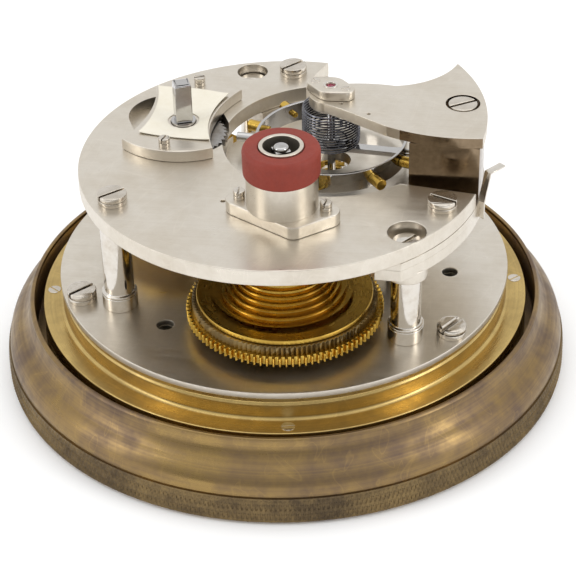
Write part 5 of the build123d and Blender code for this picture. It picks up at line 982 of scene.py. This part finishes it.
def fusee_surface(steps=96):
    """A helical staircase: for each turn a flat ledge inwards, the groove's wall upwards, and the next thin lip."""
    turns = np.arange(FUSEE_TURNS * steps + 1)[:, None] / steps
    rise = np.array([0.0, 0.0, 0.12, 0.66, 0.8, 0.86, 0.97, 1.0])
    depth = np.array([0.0, 0.9, 1.0, 1.0, 0.55, 0.06, 0.0, 0.05]) * GROOVE_DEPTH
    lip = np.where(np.arange(len(rise)) == 0, cone_radius(turns), cone_radius(turns + 1))
    radius = lip - depth
    height = brim_top + CHAIN_PITCH * (turns + rise)
    angle = 2 * pi * turns + 0 * rise
    x = FUSEE[0] + radius * np.cos(angle)
    y = FUSEE[1] + radius * np.sin(angle)
    points = np.stack([x, y, height], -1).reshape(-1, 3)
    return mesh_from("fusee_groove", points, grid_faces(len(turns), len(rise), False, False))


groove = fusee_surface()
core_turns = np.linspace(0, FUSEE_TURNS, 25)
core_wall = np.stack([cone_radius(core_turns + 1) - GROOVE_DEPTH - 0.3, brim_top + CHAIN_PITCH * core_turns], 1)
core = lathe_mesh("core", np.concatenate([
    rounded([(0, low("fusee_cone")), (BRIM_RADIUS, low("fusee_cone")), (BRIM_RADIUS, brim_top), (14.5, brim_top)],
            0.25, False),
    core_wall,
    rounded([(8.0, cone_top), (8.0, high("fusee_cone")), (0, high("fusee_cone"))], 0.2, False),
]), FUSEE, 160, False)
piece("fusee_body", joined("fusee_body", core, groove), "gilt_brass", "fusee", ["fusee_cone"])


# %% [markdown]
# A wheel's outline is a ring of teeth. Each tooth is a flank, a rounded tip, a flank and a root, all placed by the
# share of the pitch they take. The same few lines serve the great wheel and the ratchet above it.


# %% Great wheel
def wheel_outline(centre, teeth, tip, root, turn, tip_share=0.2, root_share=0.56):
    """A ring of rounded teeth."""
    pitch = 360 / teeth
    offsets = np.array([-root_share / 2, -0.34 * root_share - 0.05, -tip_share / 2, 0, tip_share / 2,
                        0.34 * root_share + 0.05, root_share / 2, 0.5])
    reach = np.array([root, 0.4 * root + 0.6 * tip, tip - 0.12, tip, tip - 0.12, 0.4 * root + 0.6 * tip, root, root])
    angles = np.radians(turn + (np.arange(teeth)[:, None] + offsets[None, :]) * pitch).ravel()
    reach = np.tile(reach, teeth)
    return np.stack([centre[0] + reach * np.cos(angles), centre[1] + reach * np.sin(angles)], 1)


GREAT_TEETH = 96
GREAT_MODULE = 2 * 24.0 / (GREAT_TEETH + 12)
great_pitch = GREAT_TEETH * GREAT_MODULE / 2
great_outline = wheel_outline(FUSEE, GREAT_TEETH, great_pitch + 0.85 * GREAT_MODULE, great_pitch - 1.25 * GREAT_MODULE,
                              bearing(FUSEE, CENTRE))
great_mesh = plate_mesh("great_wheel_body", great_outline, [circle(FUSEE, 2.85, 32)], low("great_wheel"),
                        high("great_wheel"), 0.09)
piece("great_wheel_body", great_mesh, "gilt_brass", "great", ["great_wheel"])

# %% [markdown]
# ## Balance and its spring
#
# The balance is a polished steel rim on two arms, with brass weights screwed to it for timing. Above it the helical
# spring rises to its stud under the cock. The spring is a tube carried along a helix: at each step a small circle
# stands across the path, and all the circles form one grid.

# %% Balance
ARM_BASE = low("balance_wheel") + 1.3
RIM_LOW, RIM_HIGH = low("balance_wheel"), high("balance_wheel")
ARM_TURN = -14.0
rim_mesh = lathe_mesh("rim", rounded([(16.6, RIM_LOW), (17.3, RIM_LOW), (17.3, RIM_HIGH), (16.6, RIM_HIGH)], 0.12),
                      BALANCE, 160)


def arm_outline():
    """Two tapering arms on a round boss, drawn as a half width that falls with the distance from the staff."""
    reach = np.linspace(-16.8, 16.8, 61)
    half = 1.25 + 1.6 * np.exp(-((reach / 2.6) ** 2)) + 0.35 * np.exp(-(((np.abs(reach) - 16.8) / 1.6) ** 2))
    path = np.concatenate([np.stack([reach, half], 1), np.stack([reach, -half], 1)[::-1]])
    c, s = cos(radians(ARM_TURN)), sin(radians(ARM_TURN))
    return path @ np.array([[c, s], [-s, c]]) + np.array(BALANCE)


arms_mesh = plate_mesh("arms", arm_outline(), [circle(BALANCE, 0.9, 32)], ARM_BASE, ARM_BASE + 1.2, 0.15)


def turned_across(name, place, turn, height, profile, steps=32):
    """A small turned piece whose axis lies level: its profile gives radius and distance outwards from the staff."""
    mesh = lathe_mesh(name, profile, CENTRE, steps, False)
    lay_over = Matrix.Rotation(radians(90), 4, "Y")
    around = Matrix.Rotation(radians(turn), 4, "Z")
    move = Matrix.Translation((place[0] * MM, place[1] * MM, height * MM))
    mesh.transform(move @ around @ lay_over)
    return mesh


def weight_profile(radius, start, end, edge=0.2):
    """A cylinder with rounded ends, as (radius, distance) pairs."""
    return rounded([(0, start), (radius, start), (radius, end), (0, end)], edge, False)


ends = [turned_across("end", BALANCE, ARM_TURN + half, ARM_BASE + 0.6, weight_profile(1.08, 16.9, 22.0, 0.15))
        for half in (0, 180)]
piece("balance_rim", joined("balance_rim", rim_mesh, arms_mesh, *ends), "polished_steel", "balance", ["balance_wheel"])
weights = []
for turn in (-60, -28, 120, 152):
    weights.append(turned_across("weight", BALANCE, turn, ARM_BASE + 1.0, weight_profile(1.3, 17.3, 21.0)))
    weights.append(turned_across("weight_end", BALANCE, turn, ARM_BASE + 1.0, weight_profile(0.7, 15.7, 17.4, 0.1)))
piece("timing_weights", joined("timing_weights", *weights), "gilt_brass", "balance", ["balance_weights"])


# %% Hairspring
def tube_along(name, path, radius, sides=8):
    """A round wire: across the path stands a circle, in the directions sideways and upwards of the path."""
    path = np.asarray(path, float)
    ahead = np.gradient(path, axis=0)
    ahead /= np.linalg.norm(ahead, axis=1, keepdims=True)
    side = np.cross(ahead, (0, 0, 1.0))
    side /= np.linalg.norm(side, axis=1, keepdims=True)
    up = np.cross(side, ahead)
    turn = np.linspace(0, 2 * pi, sides, endpoint=False)[None, :, None]
    ring = path[:, None] + radius * (np.cos(turn) * side[:, None] + np.sin(turn) * up[:, None])
    caps = np.concatenate([np.repeat(path[:1, None], sides, 1), ring, np.repeat(path[-1:, None], sides, 1)])
    return mesh_from(name, caps.reshape(-1, 3), grid_faces(len(caps), sides))


SPRING_RADIUS = 6.4
SPRING_LOW, SPRING_HIGH = low("hairspring") + 0.2, high("hairspring") - 0.2
SPRING_TURNS = 14
turns = np.linspace(0, SPRING_TURNS, SPRING_TURNS * 48 + 1)
reach = SPRING_RADIUS - 3.0 * np.exp(-turns * 3.2) - 1.6 * np.exp(-(SPRING_TURNS - turns) * 5)
spring_path = np.stack([
    BALANCE[0] + reach * np.cos(2 * pi * turns), BALANCE[1] + reach * np.sin(2 * pi * turns),
    SPRING_LOW + (SPRING_HIGH - SPRING_LOW) * turns / SPRING_TURNS], 1)
piece("helical_spring", tube_along("helical_spring", spring_path, 0.19), "blued_steel", "balance", ["hairspring"])

# %% [markdown]
# ## Barrel bridge and its paper tag
#
# The bridge over the set-up ratchet has hollowed sides. A repairer once pushed a scrap of paper over the square. It
# is a curved sheet here: a patch stretched between four arcs, lifted a little at its edges, cut round the square
# and given the thickness of paper. It is left blank.

# %% Barrel bridge
near = arc_through((-35.7, 5.4), (-26.0, -0.6), (-15.2, 0.4), 24)
right = arc_through((-15.2, 0.4), (-15.6, 12.0), (-8.8, 26.6), 24)
far = arc_through((-8.8, 26.6), (-18.0, 32.5), (-28.8, 29.7), 24)
left = arc_through((-28.8, 29.7), (-30.0, 17.0), (-35.7, 5.4), 24)
bridge_mesh = plate_mesh("barrel_bridge_body", np.concatenate([near[:-1], right[:-1], far[:-1], left[:-1]]),
                         [circle(BARREL, 2.85, 48)], TOP_FACE, BARREL_BRIDGE_TOP, 0.3)
piece("barrel_bridge_body", bridge_mesh, "nickel_plate", replaces=["barrel_bridge"])


def paper_patch(near, right, far, left, steps=32):
    """A patch between four arcs: the blend of opposite sides, twice, less the blend of the four corners."""
    far, left = far[::-1], left[::-1]
    pick = lambda side, share: np.stack([np.interp(share, np.linspace(0, 1, len(side)), side[:, k]) for k in (0, 1)], -1)
    share = np.linspace(0, 1, steps)
    u, v = share[None, :, None], share[:, None, None]
    along = pick(near, share)[None] * (1 - v) + pick(far, share)[None] * v
    across = pick(left, share)[:, None] * (1 - u) + pick(right, share)[:, None] * u
    corners = (near[0] * (1 - u) + near[-1] * u) * (1 - v) + (far[0] * (1 - u) + far[-1] * u) * v
    plan = along + across - corners
    lift = 0.5 * (np.abs(2 * u - 1) ** 6 * (0.3 + 0.5 * v) + np.abs(2 * v - 1) ** 6 * 0.35)
    sheets = [np.concatenate([plan, BARREL_BRIDGE_TOP + 0.02 + t + lift], -1) for t in (0.0, 0.16)]
    upper, lower = grid_faces(steps, steps, False, False), grid_faces(steps, steps, False, False)[:, ::-1]
    count = steps * steps
    border = np.concatenate([np.arange(steps), np.arange(2 * steps - 1, count, steps),
                             np.arange(count - 2, count - steps - 1, -1), np.arange(count - 2 * steps, 0, -steps)])
    after = np.roll(border, -1)
    walls = np.stack([border, after, after + count, border + count], 1)
    return mesh_from("paper", np.concatenate([s.reshape(-1, 3) for s in sheets]), np.concatenate([lower, upper + count, walls]))


tag_near = arc_through((-32.0, 7.6), (-24.4, 5.0), (-15.9, 3.4), 24)
tag_right = arc_through((-15.9, 3.4), (-15.9, 13.6), (-11.7, 23.7), 24)
tag_far = arc_through((-11.7, 23.7), (-19.6, 27.0), (-28.3, 28.2), 24)
tag_left = arc_through((-28.3, 28.2), (-28.6, 17.6), (-32.0, 7.6), 24)
hole_drum = lathe_mesh("hole", [(0, 50), (3.6, 50), (3.6, 60), (0, 60)], BARREL, 48, False)
tag_mesh = cut(paper_patch(tag_near, tag_right, tag_far, tag_left), hole_drum)
piece("paper_tag_sheet", tag_mesh, "paper", replaces=["paper_tag"])

# %% Set-up square
SETUP_TOP = high("barrel_arbor")
setup_low = BARREL_BRIDGE_TOP + 0.4
setup_outline = square_outline(BARREL, 3.8, 12)
square = plate_mesh("setup_square_piece", setup_outline, [], setup_low, SETUP_TOP, 0.55)
shaft = lathe_mesh("shaft", [(0, low("barrel_arbor")), (2.8, low("barrel_arbor")), (2.8, 31.95), (4.5, 31.95),
                             (4.5, 41.75), (2.8, 41.75), (2.8, setup_low), (0, setup_low)], BARREL, 64, False)
piece("setup_arbor", joined("setup_arbor", square, shaft), "polished_steel", "setup", ["barrel_arbor"])

# %% [markdown]
# ## Everything else keeps its solid
#
# The train, the escapement and the rest of the inner pieces are right as they are. Their meshes are triangles with
# sharp edges, so each is copied, its doubled points are merged, and a Bevel modifier breaks its edges.

# %% Softened copies
OWN_FINISH = {"maintaining_ratchet": "ratchet_bronze", "contact_spring": "bright_nickel"}
stood_for = {name for item in made for name in item.get("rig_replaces", [])}
for name, source in sorted(frame["nodes"].items()):
    if name in stood_for:
        continue
    copy = tidied(source.data.copy(), 1e-6)
    copy.materials.clear()
    slot = OWN_FINISH.get(name, node_slot[name])
    item = piece(name + "_finished", copy, slot, body_of_node[name], [name], 24)
    bevel = item.modifiers.new("edge", "BEVEL")
    bevel.width = 0.05 * MM
    bevel.segments = 1
    bevel.limit_method = "ANGLE"
    bevel.angle_limit = radians(40)
print("pieces", len(made))

# %% [markdown]
# ## Floor, light and camera
#
# The photograph is a studio shot on white: a large soft light above, two tall ones at the sides, and nothing behind
# the camera, which is why the metal shows dark bands between bright ones. The world gives the same: rays that light
# matt surfaces see an even pale room, while the camera and reflections see white with darker stretches low in front.

# %% Floor
floor_mesh = bpy.data.meshes.new("floor")
floor_mesh.from_pydata([(-4, -4, 0), (4, -4, 0), (4, 4, 0), (-4, 4, 0)], [], [(0, 1, 2, 3)])
floor = bpy.data.objects.new("floor", floor_mesh)
bpy.context.scene.collection.objects.link(floor)
paper_floor = bpy.data.materials.new("studio_floor")
paper_floor.use_nodes = True
floor_shader = paper_floor.node_tree.nodes["Principled BSDF"]
floor_shader.inputs["Base Color"].default_value = (0.97, 0.97, 0.97, 1)
floor_shader.inputs["Roughness"].default_value = 0.8
floor_mesh.materials.append(paper_floor)

# %% World
world = bpy.data.worlds.new("studio")
bpy.context.scene.world = world
world.use_nodes = True
sky = world.node_tree
sky.nodes.clear()
rays = put(sky, "ShaderNodeLightPath").outputs
direction = put(sky, "ShaderNodeSeparateXYZ", {0: put(sky, "ShaderNodeTexCoord").outputs["Generated"]}).outputs
ahead = spread(sky, direction[1], -0.9, -0.1, 0.0, 1.0)
above = spread(sky, direction[2], 0.0, 0.65, 0.0, 1.0)
lit = spread(sky, math(sky, "MAXIMUM", ahead, above), 0.0, 1.0, 0.3, 0.92)
sees = math(sky, "MAXIMUM", rays["Is Camera Ray"], rays["Is Transmission Ray"])
shown = math(sky, "MAXIMUM", sees, math(sky, "MULTIPLY", rays["Is Glossy Ray"], lit))
level = math(sky, "MAXIMUM", shown, rays["Is Diffuse Ray"])
white = put(sky, "ShaderNodeBackground", {"Color": (1, 1, 1, 1), "Strength": level})
put(sky, "ShaderNodeOutputWorld", {"Surface": white.outputs[0]})


# %% Lamps
def soft_light(name, place, aim, size, power, tint=(1, 1, 1)):
    """An area lamp turned to face a point, both in metres."""
    data = bpy.data.lights.new(name, "AREA")
    data.shape = "RECTANGLE"
    data.size, data.size_y = size
    data.energy = power
    data.color = tint
    lamp = bpy.data.objects.new(name, data)
    lamp.location = place
    lamp.rotation_euler = (Vector(aim) - Vector(place)).to_track_quat("-Z", "Y").to_euler()
    bpy.context.scene.collection.objects.link(lamp)


MIDDLE = (0.0, 0.0, 0.03)
soft_light("overhead", (0.0, 0.15, 0.9), MIDDLE, (1.1, 0.8), 1.6)
soft_light("left_tall", (-0.75, -0.25, 0.4), MIDDLE, (0.25, 0.7), 1.4)
soft_light("right_tall", (0.7, -0.35, 0.4), MIDDLE, (0.25, 0.7), 1.6)

# %% [markdown]
# The camera stands where the photographer's did. Its place was found by fitting known circles and heights of the
# movement to the picture, so the view's foreshortening is the photograph's.

# %% Camera
CAMERA_PLACE = Vector((0.0, -398.55, 290.90)) * MM
CAMERA_YAW = 0.002
CAMERA_PITCH = 0.603
CAMERA_ROLL = -0.024
PICTURE_PIXELS = 576
FOCAL_PIXELS = 2078.81
camera_data = bpy.data.cameras.new("camera")
camera_data.sensor_width = 36.0
camera_data.lens = FOCAL_PIXELS * camera_data.sensor_width / PICTURE_PIXELS
camera_data.clip_start = 0.01
camera = bpy.data.objects.new("camera", camera_data)
bpy.context.scene.collection.objects.link(camera)
forward = Vector((sin(CAMERA_YAW) * cos(CAMERA_PITCH), cos(CAMERA_YAW) * cos(CAMERA_PITCH), -sin(CAMERA_PITCH)))
level_right = forward.cross(Vector((0, 0, 1))).normalized()
level_up = level_right.cross(forward)
right_way = level_right * cos(CAMERA_ROLL) + level_up * sin(CAMERA_ROLL)
up_way = level_up * cos(CAMERA_ROLL) - level_right * sin(CAMERA_ROLL)
turn_matrix = Matrix((right_way, up_way, -forward)).transposed().to_4x4()
camera.matrix_world = Matrix.Translation(CAMERA_PLACE) @ turn_matrix
bpy.context.scene.camera = camera
bpy.context.scene.view_settings.view_transform = "Standard"
